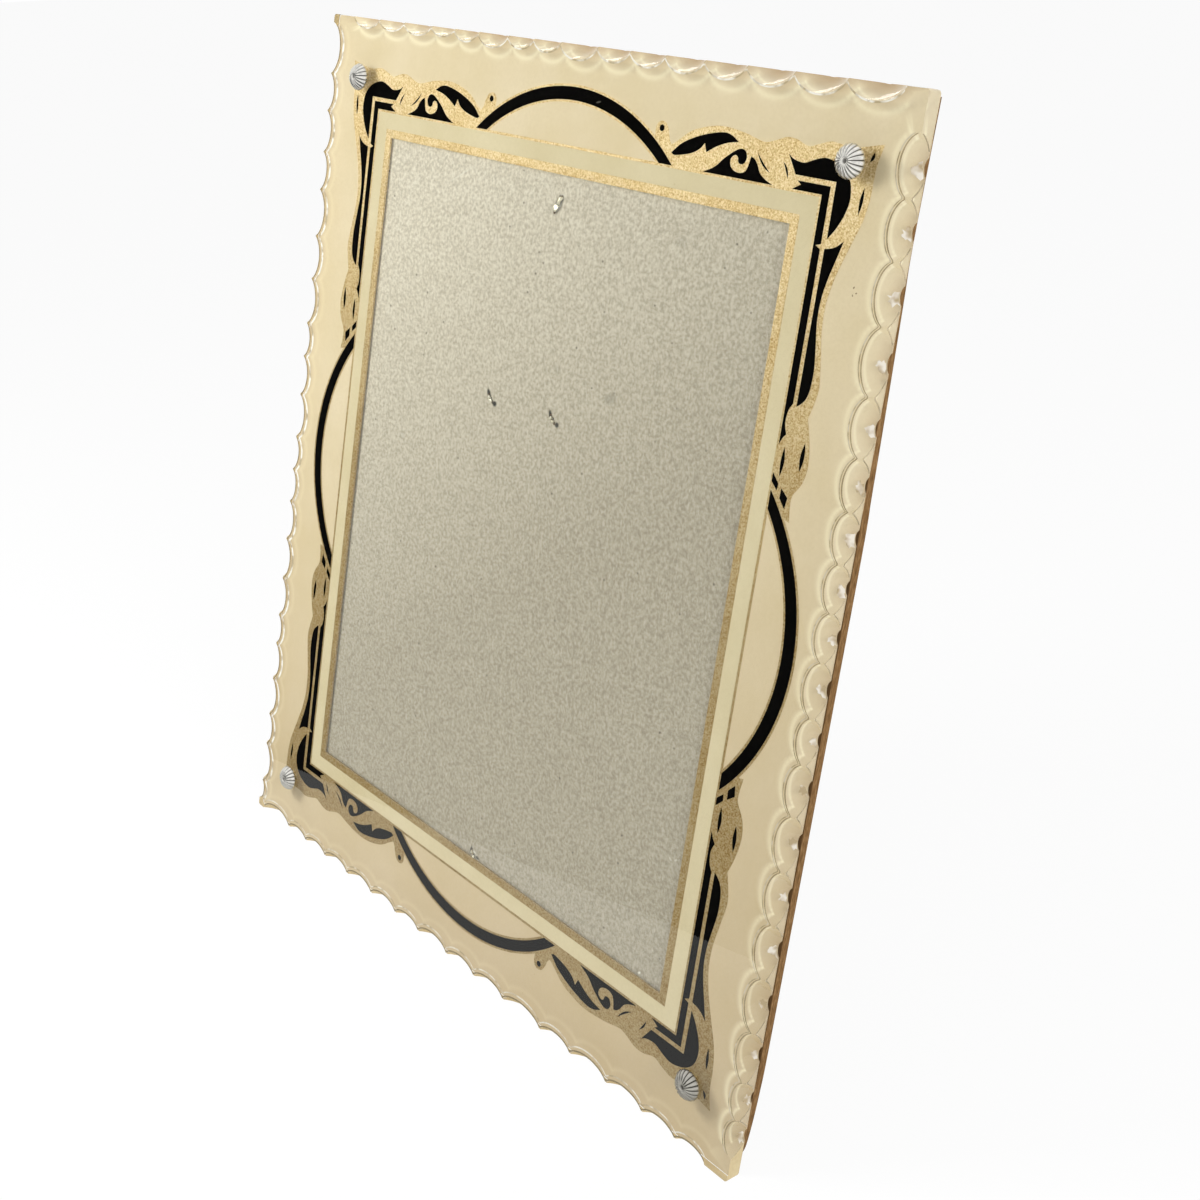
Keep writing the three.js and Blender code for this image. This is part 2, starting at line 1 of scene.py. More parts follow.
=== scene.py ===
# %% [markdown]
# # A glass picture frame with a chipped edge
# The real frame is a sheet of glass, painted on its back, whose edge was flaked off in shells with
# a tool. Four rosettes pin it to a grey board, and a hinged strut stands it up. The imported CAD
# parts give every size and place, so this script only dresses them: finer meshes where the light
# shows more than a plain solid can, and a finish for each surface. Meshes are drawn in millimetres,
# as a maker would measure them, and shrunk to the metres of the scene when they become pieces.

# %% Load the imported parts
import json
import math

import bmesh
import bpy
import numpy as np
from mathutils import Matrix, Vector
from mathutils.geometry import delaunay_2d_cdt


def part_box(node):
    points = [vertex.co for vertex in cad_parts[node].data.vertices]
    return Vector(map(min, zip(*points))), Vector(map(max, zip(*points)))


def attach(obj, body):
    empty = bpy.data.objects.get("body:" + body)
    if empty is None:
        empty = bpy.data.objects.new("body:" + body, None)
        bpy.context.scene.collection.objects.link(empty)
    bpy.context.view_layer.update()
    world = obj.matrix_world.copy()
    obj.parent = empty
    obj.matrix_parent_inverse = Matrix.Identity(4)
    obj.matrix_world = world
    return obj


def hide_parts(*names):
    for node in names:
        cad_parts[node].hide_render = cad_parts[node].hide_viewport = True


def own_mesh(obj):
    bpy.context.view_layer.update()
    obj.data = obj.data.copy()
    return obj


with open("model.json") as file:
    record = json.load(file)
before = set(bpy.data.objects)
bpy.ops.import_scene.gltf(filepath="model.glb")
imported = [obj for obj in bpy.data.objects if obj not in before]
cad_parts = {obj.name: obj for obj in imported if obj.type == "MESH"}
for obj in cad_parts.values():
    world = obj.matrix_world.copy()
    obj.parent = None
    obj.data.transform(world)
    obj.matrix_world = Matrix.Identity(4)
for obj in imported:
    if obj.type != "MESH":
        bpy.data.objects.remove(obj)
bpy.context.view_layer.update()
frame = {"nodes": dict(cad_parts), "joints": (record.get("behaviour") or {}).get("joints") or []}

# %% [markdown]
# ## Axes of the leaning panel, the strut and the hinge
# The glass leans back and the strut leans the other way, so their pieces are easiest to draw in
# axes of their own: X across, Y through the board from front to back, and Z up along it. The
# widest face of a CAD board shows which way it faces, so the lean isn't typed in twice.

# %% Axes from the CAD boards
MM = 0.001


def corners_of(node):
    return np.array([corner.co for corner in frame["nodes"][node].data.vertices])


def standing(node, origin):
    """Axes of a board: across, through and up."""
    faces = frame["nodes"][node].data.polygons
    through = max(faces, key=lambda face: face.area).normal.copy()
    if through.y < 0:
        through.negate()
    across = Vector((1, 0, 0))
    turn = Matrix((across, through, across.cross(through))).transposed().to_4x4()
    return Matrix.Translation(origin) @ turn


def span(node, place):
    """Lowest and highest corner of a CAD node in millimetres, measured along a board's axes."""
    inverse = np.array(place.inverted())
    seen = (corners_of(node) @ inverse[:3, :3].T + inverse[:3, 3]) / MM
    return Vector(seen.min(0)), Vector(seen.max(0))


def middle(node, place):
    low, high = span(node, place)
    return (low + high) / 2


tilt = standing("backboard", Vector())
low, high = span("glass_panel", tilt)
PANEL = tilt @ Matrix.Translation(Vector(((low.x + high.x) / 2, low.y, (low.z + high.z) / 2)) * MM)
hinge_at = Vector(frame["joints"][0]["pos_m"])
STRUT = standing("easel_strut", hinge_at)
HINGE = Matrix.Translation(hinge_at) @ PANEL.to_quaternion().to_matrix().to_4x4()

HALF_WIDTH, THICKNESS, HALF_HEIGHT = span("glass_panel", PANEL)[1]
lean = math.degrees(math.atan2(-PANEL.col[1].z, PANEL.col[1].y))
print(f"glass {2 * HALF_WIDTH:.1f} x {2 * HALF_HEIGHT:.1f} x {THICKNESS:.1f} mm, leaning {lean:.2f} degrees")

# %% [markdown]
# ## Camera
# The printed rectangles of the photograph fix the camera: where it stood, where it pointed and
# how long its lens was. Its place is given on the panel's own axes, in millimetres. The picture
# was cropped below the lens axis, which a small shift repeats.

# %% Camera
CAMERA_AT = Vector((275.18, -246.25, 113.69))
AIMED_AT = Vector((25.61, 1.70, 29.27))
LENS = 46.196
FILM_WIDE = 36
CROP_SHIFT = -0.125

optics = bpy.data.cameras.new("camera")
optics.lens, optics.sensor_width, optics.shift_y = LENS, FILM_WIDE, CROP_SHIFT
camera = bpy.data.objects.new("camera", optics)
camera.location = PANEL @ (CAMERA_AT * MM)
sight = PANEL @ (AIMED_AT * MM) - camera.location
camera.rotation_euler = sight.to_track_quat("-Z", "Y").to_euler()
bpy.context.scene.collection.objects.link(camera)
bpy.context.scene.camera = camera
print("camera at", [round(c, 3) for c in camera.location])

# %% [markdown]
# ## Helpers for finishes
# Colours are written as sRGB hex, the way a painter picks them on a screen, and one function turns
# them to the linear values that Blender adds up. One function adds a node, sets it and links it.
# Two more lay colour on colour: oval marks, for the few spots of wear that sit in one place, and a
# drift, for a tone that changes slowly over the whole panel. They could be painted on an image,
# but a formula stays sharp at any size and needs no file.

# %% Colour and node helpers
def linear(hex_colour):
    parts = [int(hex_colour[i:i + 2], 16) / 255 for i in (1, 3, 5)]
    return (*(p / 12.92 if p <= 0.04045 else ((p + 0.055) / 1.055) ** 2.4 for p in parts), 1)


def per(size_mm):
    """Texture scale at which one step of a pattern is that many millimetres."""
    return 1 / (size_mm * MM)


def add(tree, kind, inputs=None, stops=None, **settings):
    """Adds a node with its settings, and sets or links its inputs. Stops fill a colour ramp."""
    node = tree.nodes.new("ShaderNode" + kind)
    for name, value in settings.items():
        setattr(node, name, value)
    for name, value in (inputs or {}).items():
        socket = node.inputs[name]
        if isinstance(value, bpy.types.NodeSocket):
            tree.links.new(value, socket)
        else:
            socket.default_value = value
    if stops:
        for extra in stops[2:]:
            node.color_ramp.elements.new(extra[0])
        for element, (place, colour) in zip(node.color_ramp.elements, stops):
            element.position, element.color = place, linear(colour)
    return node


def start_finish(name):
    """A new material, its empty tree and its piece's own coordinates in metres."""
    material = bpy.data.materials.new(name)
    material.use_nodes = True
    tree = material.node_tree
    tree.nodes.clear()
    return material, tree, add(tree, "TexCoord").outputs["Object"]


def in_relief(tree, look, height, strength, depth_mm):
    """A surface of that look, shaded as if it rose and fell with the height."""
    bump = add(tree, "Bump", {"Strength": strength, "Distance": depth_mm * MM, "Height": height})
    return add(tree, "BsdfPrincipled", {**look, "Normal": bump.outputs["Normal"]}).outputs[0]


def marked(tree, place, colour, marks):
    """Lays oval marks on a colour: middle, half length and width in mm, turn, share and tint of each."""
    for x, z, long, wide, turn, share, tint in marks:
        oval = add(tree, "Mapping", {
            "Vector": place, "Location": (x * MM, 0, z * MM), "Rotation": (0, -math.radians(turn), 0),
            "Scale": (long * MM, 1, wide * MM),
        }, vector_type="TEXTURE")
        away = add(tree, "VectorMath", {0: oval.outputs[0]}, operation="LENGTH")
        spot = add(tree, "MapRange", {"Value": away.outputs["Value"], 1: 0.5, 2: 1.0, 3: share, 4: 0.0})
        inputs = {0: spot.outputs[0], 6: colour, 7: linear(tint)}
        colour = add(tree, "Mix", inputs, data_type="RGBA").outputs[2]
    return colour


def drifting(tree, place, colour, tint, way, start_mm, end_mm, most=1.0, blend="MIX"):
    """Lays a tint on a colour, more and more of it along a way over the panel."""
    along = add(tree, "VectorMath", {0: place, 1: way}, operation="DOT_PRODUCT")
    grown = add(tree, "MapRange", {
        "Value": along.outputs["Value"], 1: start_mm * MM, 2: end_mm * MM, 3: 0.0, 4: most,
    })
    inputs = {0: grown.outputs[0], 6: colour, 7: linear(tint)}
    return add(tree, "Mix", inputs, data_type="RGBA", blend_type=blend).outputs[2]


print("tan in linear light:", [round(part, 3) for part in linear("#C8A070")])

# %% [markdown]
# ## Glass
# The real sheet is soda-lime window glass, rolled or drawn flat and left clear. It bends light by
# an index of 1.52, its faces wave very slightly, and the flaked edge has a faintly rippled skin.
# Real refraction shows the thickness and the glints of the flakes. Rays from lamps and between
# dull surfaces pass straight through, so that the paint behind stays lit without slow caustics.
# Where a flake meets a flat face the glass is crushed to white powder, in a line that breaks off
# and starts again. Its whiteness, which is partly painted highlight, is stored in the vertices,
# because each edge has its own.

# %% Clear glass, drawn and flaked
GLASS_INDEX = 1.52
DRAWN_WAVE_MM, FLAKED_WAVE_MM = 60, 1.4


def lets_light_through(tree, shader):
    """The same shader, but clear to rays from lamps and between dull surfaces."""
    ray = add(tree, "LightPath")
    straight = add(tree, "Math", {
        0: ray.outputs["Is Shadow Ray"], 1: ray.outputs["Is Diffuse Ray"],
    }, operation="MAXIMUM")
    clear = add(tree, "BsdfTransparent").outputs[0]
    return add(tree, "MixShader", {0: straight.outputs[0], 1: shader, 2: clear}).outputs[0]


def glass_finish(name, ripple_mm, ripple_share, roughness):
    material, tree, place = start_finish(name)
    ripple = add(tree, "TexNoise", {"Vector": place, "Scale": per(ripple_mm), "Detail": 2.0})
    look = {
        "Base Color": linear("#F8FBF6"), "Roughness": roughness, "IOR": GLASS_INDEX,
        "Transmission Weight": 1.0,
    }
    body = in_relief(tree, look, ripple.outputs["Fac"], ripple_share, 0.1)
    add(tree, "OutputMaterial", {"Surface": lets_light_through(tree, body)})
    return material


sheet_glass = glass_finish("drawn soda-lime glass", DRAWN_WAVE_MM, 0.05, 0.0)
flaked_glass = glass_finish("flaked soda-lime glass", FLAKED_WAVE_MM, 0.35, 0.02)
print("clear:", sheet_glass.name, "and", flaked_glass.name)

# %% Wetted and crushed glass
POWDERED_MM, BROKEN_MM = 0.6, 3.0


def contact_finish():
    """Where paint wets the glass there is no air between them, so that face bends no light."""
    material, tree, _ = start_finish("paint wetting the glass")
    add(tree, "OutputMaterial", {"Surface": add(tree, "BsdfTransparent").outputs[0]})
    return material


def crush_and_glint_finish():
    """The fine line along each flake, where the glass is crushed to powder, and its painted highlights."""
    material, tree, place = start_finish("crushed glass and painted glints")
    white = add(tree, "Attribute", attribute_name="whiteness").outputs["Fac"]
    grain = add(tree, "TexNoise", {"Vector": place, "Scale": per(POWDERED_MM), "Detail": 3.0})
    patches = add(tree, "TexNoise", {"Vector": place, "Scale": per(BROKEN_MM), "Detail": 2.0})
    broken = add(tree, "MapRange", {"Value": patches.outputs["Fac"], 1: 0.40, 2: 0.56, 3: 0.3, 4: 1.0})
    share = add(tree, "Math", {0: white, 1: broken.outputs[0]}, operation="MULTIPLY")
    shade = add(tree, "ValToRGB", {"Fac": share.outputs[0]}, stops=[
        (0.0, "#8C7C5A"), (0.25, "#BDAA88"), (0.9, "#FFFBF2"),
    ])
    look = {"Base Color": shade.outputs["Color"], "Roughness": 0.6, "Specular IOR Level": 0.3}
    add(tree, "OutputMaterial", {"Surface": in_relief(tree, look, grain.outputs["Fac"], 0.4, 0.05)})
    return material


contact = contact_finish()
crushed_glass_and_glints = crush_and_glint_finish()
print("not clear:", contact.name, "and", crushed_glass_and_glints.name)

# %% [markdown]
# ## Paints on the back of the glass
# Cream and black lacquer were laid on the glass by stencil, and the gold is bronze powder in
# varnish. Seen through the glass they have no gloss of their own. The cream is a little cloudy
# and grows darker and browner towards the foot of the panel. Its vertices say where the flakes
# gather light on it and where they dim it, which would take very long to find with caustics. The
# gold is grainy: its powder is drawn a third of a millimetre across, as coarse as it needs to show,
# and painted shade darkens it from the top down to the middle of the panel. The black is almost
# even. At the left and the bottom a cream skin on the flakes paints the reflection of the paint
# that the real glass shows there, and that skin lets the lamps through, so that it doesn't shade
# the paint beside it.

# %% Lacquers
CLOUD_MM, STIPPLE_MM, PINHOLE_MM = 22, 0.7, 7.5
NO_GLOSS = 0.0
DOWN = (0.35, 0.0, -0.94)
CREAM_MARKS = [(89.4, 80.3, 0.35, 0.22, 60, 0.8, "#6B4A2E"), (90.2, 79.3, 0.3, 0.2, 20, 0.8, "#6B4A2E"),
               (89.4, 78.7, 0.3, 0.2, 110, 0.7, "#6B4A2E")]
BLACK_MARKS = [(8.6, 108.0, 1.0, 0.3, 15, 0.5, "#6A665E")]


def lacquer_finish(name, light, dark, speck, lit=False, marks=(), sheer=False):
    """Cloudy lacquer. If lit, its vertices say where the flakes gather light on it and where they dim it."""
    material, tree, place = start_finish(name)
    cloud = add(tree, "TexNoise", {"Vector": place, "Scale": per(CLOUD_MM), "Detail": 5.0, "Roughness": 0.6})
    shade = add(tree, "ValToRGB", {"Fac": cloud.outputs["Fac"]}, stops=[(0.32, dark), (0.68, light)])
    fine = add(tree, "TexNoise", {"Vector": place, "Scale": per(STIPPLE_MM), "Detail": 2.0})
    grain = add(tree, "MapRange", {"Value": fine.outputs["Fac"], 1: 0.3, 2: 0.7, 3: 0.0, 4: 0.14})
    dots = add(tree, "TexVoronoi", {"Vector": place, "Scale": per(PINHOLE_MM), "Randomness": 1.0})
    dot = add(tree, "MapRange", {"Value": dots.outputs["Distance"], 1: 0.02, 2: 0.035, 3: 0.55, 4: 0.0})
    layers = [(grain.outputs[0], speck), (dot.outputs[0], speck)]
    colour = shade.outputs["Color"]
    for share, tint in layers:
        colour = add(tree, "Mix", {0: share, 6: colour, 7: linear(tint)}, data_type="RGBA").outputs[2]
    if lit:
        # the cream grows darker and browner towards the foot of the panel
        colour = drifting(tree, place, colour, "#BAA07B", DOWN, -40, 125, 0.45)
        for mark, tint in (("dimmed", "#B08E66"), ("gathered", "#FFF4D2")):
            share = add(tree, "Attribute", attribute_name=mark).outputs["Fac"]
            colour = add(tree, "Mix", {0: share, 6: colour, 7: linear(tint)}, data_type="RGBA").outputs[2]
    colour = marked(tree, place, colour, marks)
    body = add(tree, "BsdfPrincipled", {
        "Base Color": colour, "Roughness": 0.45, "Specular IOR Level": NO_GLOSS,
    }).outputs[0]
    add(tree, "OutputMaterial", {"Surface": lets_light_through(tree, body) if sheer else body})
    return material


cream = lacquer_finish("cream lacquer", "#EADAB9", "#E3D2AC", "#CDB98F", lit=True, marks=CREAM_MARKS)
pale_band = lacquer_finish("pale cream lacquer", "#E3D6B2", "#DBCDA6", "#C4B48C")
# cream skin on the flakes at the left and the bottom: a painted reflection of the paint behind the glass
cream_reflection_skin = lacquer_finish("cream skin painting the reflection in the flakes", "#E4D3AA", "#D0BB90", "#A38C64", sheer=True)
black = lacquer_finish("black lacquer", "#0B0A09", "#060605", "#141210", marks=BLACK_MARKS)
print("lacquers:", [finish.name for finish in (cream, pale_band, cream_reflection_skin, black)])

# %% Bronze powder paint
POWDER_MM, GOLD_CLOUD_MM = 0.34, 14
STRAIGHT_DOWN = (0, 0, -1)


def bronze_powder_finish():
    material, tree, place = start_finish("bronze powder paint")
    powder = add(tree, "TexNoise", {"Vector": place, "Scale": per(POWDER_MM), "Detail": 1.5})
    cloud = add(tree, "TexNoise", {"Vector": place, "Scale": per(GOLD_CLOUD_MM), "Detail": 3.0})
    both = add(tree, "Math", {0: powder.outputs["Fac"], 1: 0.8}, operation="MULTIPLY")
    whole = add(tree, "Math", {0: cloud.outputs["Fac"], 1: 0.2, 2: both.outputs[0]}, operation="MULTIPLY_ADD")
    shade = add(tree, "ValToRGB", {"Fac": whole.outputs[0]}, stops=[
        (0.32, "#B8975F"), (0.50, "#DFC694"), (0.66, "#F0DDB4"),
    ])
    # painted shade: the gold darkens from the top down to the middle of the panel, where less light falls on
    # it
    darkened_downwards = drifting(tree, place, shade.outputs["Color"], "#CBC7C0", STRAIGHT_DOWN, -95, 0, blend="MULTIPLY")
    look = {"Base Color": darkened_downwards, "Metallic": 0.5, "Roughness": 0.5, "Specular IOR Level": NO_GLOSS}
    add(tree, "OutputMaterial", {"Surface": in_relief(tree, look, powder.outputs["Fac"], 0.5, 0.08)})
    return material


gold = bronze_powder_finish()
print("gold:", gold.name)

# %% [markdown]
# ## Board and paper
# The board is grey chipboard, pressed from waste paper: soft blotches under a millimetre across,
# short fibres lying every way and dark specks. A few stains and scratches sit in their own places,
# and so does painted light beside the rivets: dark ovals paint the shade in the pits, pale ones
# paint highlights. It darkens a little towards the lower right, and is browner at its sawn edge.
# The back is covered with an embossed brown paper, whose grain is a net of soft cells about 0.8 mm
# wide.

# %% Chipboard
BLOTCH_MM, SPECK_MM = 0.9, 5.5
FIBRE_LONG_MM, FIBRE_WIDE_MM = 2.2, 0.16
FIBRES = ((0.35, "#E6E1D0", 0.5), (-0.8, "#928977", 0.5), (1.45, "#E4DECC", 0.4))
DOWN_RIGHT = (0.6, 0.0, -0.8)
BROWN_FROM, BROWN_TO = 98.6, 98.9
BOARD_MARKS = [
    (25.5, 41.5, 2.8, 1.6, 30, 0.3, "#8A8476"), (40.5, 81.0, 2.2, 1.8, 0, 0.2, "#8A8476"),
    (-52.0, 12.0, 1.6, 1.6, 0, 0.2, "#8A8476"), (6.0, 44.0, 1.4, 1.4, 0, 0.16, "#8A8476"),
    (-39.9, 84.5, 6.9, 0.2, 29.7, 0.55, "#ECE8DA"), (66.3, -57.5, 0.9, 0.25, -30, 0.7, "#E6E2D4"),
    (68.0, -57.0, 0.7, 0.3, 40, 0.6, "#E6E2D4"), (62.7, -89.2, 0.6, 0.35, 40, 0.95, "#F6F3E8"),
    # beside the rivets, dark ovals are painted shade in the pits and pale ovals are painted highlights
    (-1.4, 82.8, 3.1, 1.5, 65, 0.9, "#5A544A"), (-1.4, 82.8, 2.3, 0.95, 65, 1.0, "#F4F1E8"),
    (-1.0, 83.6, 1.0, 0.6, 65, 1.0, "#3A352D"),
    (-18.1, 32.3, 1.4, 0.8, -58, 1.0, "#35312A"), (-15.4, 30.1, 1.0, 0.95, 0, 1.0, "#35312A"),
    (5.7, 32.8, 1.3, 0.7, -65, 1.0, "#35312A"), (8.5, 30.8, 0.9, 0.85, 0, 1.0, "#35312A"),
    (-1.9, -88.6, 1.6, 0.5, 85, 0.95, "#4A463E"), (-0.5, -88.7, 0.8, 0.55, 0, 0.7, "#F4F0E4"),
    (1.0, -89.6, 1.0, 0.45, -8, 0.9, "#4A463E"),
]


def chipboard_finish():
    material, tree, place = start_finish("grey chipboard")
    blotch = add(tree, "TexNoise", {
        "Vector": place, "Scale": per(BLOTCH_MM), "Detail": 5.0, "Roughness": 0.65,
    })
    shade = add(tree, "ValToRGB", {"Fac": blotch.outputs["Fac"]}, stops=[
        (0.38, "#C4B9A5"), (0.50, "#DBD0BB"), (0.62, "#ECE3D1"),
    ])
    colour = drifting(tree, place, shade.outputs["Color"], "#D1CFCB", DOWN_RIGHT, -90, 12, blend="MULTIPLY")
    height = blotch.outputs["Fac"]
    layers = []
    for turn, strand, share in FIBRES:
        laid = add(tree, "Mapping", {
            "Vector": place, "Rotation": (0, turn, 0),
            "Scale": (per(FIBRE_WIDE_MM), per(FIBRE_LONG_MM), per(FIBRE_LONG_MM)),
        })
        fibre = add(tree, "TexNoise", {"Vector": laid.outputs[0], "Scale": 1.0, "Detail": 2.0})
        thread = add(tree, "MapRange", {"Value": fibre.outputs["Fac"], 1: 0.60, 2: 0.72, 3: 0.0, 4: share})
        layers.append((thread.outputs[0], strand))
        raised = add(tree, "Math", {0: thread.outputs[0], 1: height}, operation="ADD")
        height = raised.outputs[0]
    specks = add(tree, "TexVoronoi", {"Vector": place, "Scale": per(SPECK_MM)})
    speck = add(tree, "MapRange", {"Value": specks.outputs["Distance"], 1: 0.035, 2: 0.07, 3: 0.8, 4: 0.0})
    for share, tint in (*layers, (speck.outputs[0], "#5E564A")):
        colour = add(tree, "Mix", {0: share, 6: colour, 7: linear(tint)}, data_type="RGBA").outputs[2]
    colour = marked(tree, place, colour, BOARD_MARKS)
    colour = drifting(tree, place, colour, "#7A5C3A", (1, 0, 0), BROWN_FROM, BROWN_TO)
    look = {"Base Color": colour, "Roughness": 0.95, "Specular IOR Level": 0.2}
    add(tree, "OutputMaterial", {"Surface": in_relief(tree, look, height, 0.5, 0.12)})
    return material


chipboard = chipboard_finish()
print("board:", chipboard.name, "with", len(BOARD_MARKS), "marks")

# %% Sawn edge
SAWN_LAYER_MM = (0.5, 0.35, 2.5)


def sawn_edge_finish():
    """Pressed layers run along the edge, so the noise is stretched that way."""
    material, tree, place = start_finish("sawn chipboard edge")
    laid = add(tree, "Mapping", {"Vector": place, "Scale": [per(size) for size in SAWN_LAYER_MM]})
    layers = add(tree, "TexNoise", {
        "Vector": laid.outputs[0], "Scale": 1.0, "Detail": 4.0, "Roughness": 0.65,
    })
    shade = add(tree, "ValToRGB", {"Fac": layers.outputs["Fac"]}, stops=[
        (0.30, "#5E452B"), (0.50, "#85643F"), (0.72, "#AB8B62"),
    ])
    look = {"Base Color": shade.outputs["Color"], "Roughness": 0.95, "Specular IOR Level": 0.1}
    add(tree, "OutputMaterial", {"Surface": in_relief(tree, look, layers.outputs["Fac"], 0.7, 0.2)})
    return material


sawn_edge = sawn_edge_finish()
print("edge:", sawn_edge.name)

# %% Embossed paper
EMBOSSED_MM, RUBBED_MM = 0.8, 28


def embossed_paper_finish(name, light, dark):
    material, tree, place = start_finish(name)
    cells = add(tree, "TexVoronoi", {"Vector": place, "Scale": per(EMBOSSED_MM)}, feature="SMOOTH_F1")
    wear = add(tree, "TexNoise", {"Vector": place, "Scale": per(RUBBED_MM), "Detail": 6.0, "Roughness": 0.65})
    low_high = add(tree, "Math", {0: cells.outputs["Distance"], 1: 0.45}, operation="MULTIPLY")
    both = add(tree, "Math", {
        0: wear.outputs["Fac"], 1: 0.6, 2: low_high.outputs[0],
    }, operation="MULTIPLY_ADD")
    shade = add(tree, "ValToRGB", {"Fac": both.outputs[0]}, stops=[(0.38, dark), (0.66, light)])
    rough = add(tree, "MapRange", {"Value": wear.outputs["Fac"], 1: 0.3, 2: 0.7, 3: 0.62, 4: 0.85})
    look = {"Base Color": shade.outputs["Color"], "Roughness": rough.outputs[0], "Specular IOR Level": 0.35}
    add(tree, "OutputMaterial", {"Surface": in_relief(tree, look, cells.outputs["Distance"], 0.6, 0.12)})
    return material


back_paper = embossed_paper_finish("embossed covering paper", "#6E5A45", "#4A3B2C")
strut_paper = embossed_paper_finish("embossed strut paper", "#65523F", "#423528")
print("papers:", back_paper.name, "and", strut_paper.name)

# %% [markdown]
# ## Metals and tape
# The rosettes are thin brass, stamped and nickel-plated: bright, with grime and painted shade in the creases.
# The hinge is tinned steel sheet, dull and finely scratched. Rivets, pins and hanger are brass
# that has tarnished brown in patches, but the split rivets behind the window are rubbed pale.
# Stains and scratches come from two noises, the second drawn out long. The stay is black cotton
# tape, woven of threads 0.4 mm apart, whose pattern follows the flat tape and so bends with it.

# %% Steel and brass
SCRATCH_DRAWN_OUT = 12


def metal_finish(name, clean, stained, smooth, rough, scratch_mm, stain_mm):
    material, tree, place = start_finish(name)
    stain = add(tree, "TexNoise", {"Vector": place, "Scale": per(stain_mm), "Detail": 6.0, "Roughness": 0.6})
    laid = add(tree, "Mapping", {
        "Vector": place, "Scale": (per(scratch_mm), per(scratch_mm), per(SCRATCH_DRAWN_OUT * scratch_mm)),
    })
    scratch = add(tree, "TexNoise", {"Vector": laid.outputs[0], "Scale": 1.0, "Detail": 3.0})
    shade = add(tree, "ValToRGB", {"Fac": stain.outputs["Fac"]}, stops=[(0.42, clean), (0.70, stained)])
    rub = add(tree, "MapRange", {"Value": stain.outputs["Fac"], 1: 0.35, 2: 0.7, 3: smooth, 4: rough})
    look = {"Base Color": shade.outputs["Color"], "Metallic": 1.0, "Roughness": rub.outputs[0]}
    add(tree, "OutputMaterial", {"Surface": in_relief(tree, look, scratch.outputs["Fac"], 0.12, 0.04)})
    return material


steel = metal_finish("tinned steel sheet", "#A8A59C", "#6E675A", 0.28, 0.55, 0.12, 5.0)
brass = metal_finish("tarnished brass", "#B8985A", "#6B5230", 0.25, 0.55, 0.15, 2.5)
rubbed_brass = metal_finish("rubbed pale brass", "#EDE8DA", "#BDB196", 0.3, 0.5, 0.15, 2.5)
print("metals:", [finish.name for finish in (steel, brass, rubbed_brass)])

# %% Nickel plating
PLATING_SPOT_MM = 1.1


def plated_finish():
    material, tree, place = start_finish("nickel-plated stamping")
    crease = add(tree, "Attribute", attribute_name="crease")
    spots = add(tree, "TexNoise", {"Vector": place, "Scale": per(PLATING_SPOT_MM), "Detail": 5.0})
    worn = add(tree, "MapRange", {"Value": spots.outputs["Fac"], 1: 0.45, 2: 0.75, 3: 0.0, 4: 0.35})
    # creases and worn spots are darker: grime, and in the creases also painted shade
    grime_and_shade = add(tree, "Math", {0: crease.outputs["Fac"], 1: worn.outputs[0]}, operation="MAXIMUM")
    shade = add(tree, "Mix", {
        0: grime_and_shade.outputs[0], 6: linear("#EFEDE6"), 7: linear("#3A362F"),
    }, data_type="RGBA")
    rough = add(tree, "MapRange", {"Value": grime_and_shade.outputs[0], 1: 0.0, 2: 1.0, 3: 0.2, 4: 0.5})
    # the plating is drawn darker towards the lower right of the panel
    darkened_downwards = drifting(tree, place, shade.outputs[2], "#9A978E", DOWN_RIGHT, -60, 25, 0.6, "MULTIPLY")
    body = add(tree, "BsdfPrincipled", {
        "Base Color": darkened_downwards, "Metallic": 1.0, "Roughness": rough.outputs[0],
    })
    add(tree, "OutputMaterial", {"Surface": body.outputs[0]})
    return material


plating = plated_finish()
print("plating:", plating.name)

# %% Woven tape
THREAD_MM = 0.4


def tape_finish():
    material, tree, _ = start_finish("woven cotton tape")
    flat = add(tree, "TexCoord").outputs["UV"]
    height = None
    for direction in ("X", "Y"):
        threads = add(tree, "TexWave", {"Vector": flat, "Scale": 0.5 / THREAD_MM, "Distortion": 0.4},
                      bands_direction=direction, wave_profile="SIN")
        level = threads.outputs["Fac"]
        if height is not None:
            level = add(tree, "Math", {0: height, 1: level}, operation="MULTIPLY").outputs[0]
        height = level
    shade = add(tree, "ValToRGB", {"Fac": height}, stops=[(0.1, "#151311"), (0.8, "#3A3632")])
    look = {
        "Base Color": shade.outputs["Color"], "Roughness": 0.95, "Specular IOR Level": 0.2,
        "Sheen Weight": 0.25,
    }
    add(tree, "OutputMaterial", {"Surface": in_relief(tree, look, height, 0.8, 0.15)})
    return material


tape = tape_finish()
print("tape:", tape.name)

# %% [markdown]
# ## Helpers for shapes
# Most pieces are flat: an outline on X and Z, filled between two depths. A constrained Delaunay
# triangulation fills the union of any outlines less any holes, in one robust step, where boolean
# cuts of thin slabs would need care. Smooth runs are curves through a few points, and corners
# lie where two runs meet.

# %% Smooth runs
def curve_through(points, steps=6):
    """Smooth curve through all the points, as a polyline."""
    ends = [2 * Vector(points[0]) - Vector(points[1]), *map(Vector, points)]
    ends.append(2 * ends[-1] - ends[-2])
    line = []
    for a, b, c, d in zip(ends, ends[1:], ends[2:], ends[3:]):
        for step in range(steps):
            t = step / steps
            line.append(0.5 * (2 * b + (c - a) * t + (2 * a - 5 * b + 4 * c - d) * t ** 2
                               + (3 * b - a - 3 * c + d) * t ** 3))
    return [tuple(point) for point in line]


def outline(*runs):
    """Closed outline from smooth runs, each starting where the last one ended."""
    return [point for run in runs for point in (curve_through(run) if len(run) > 2 else run[:1])]


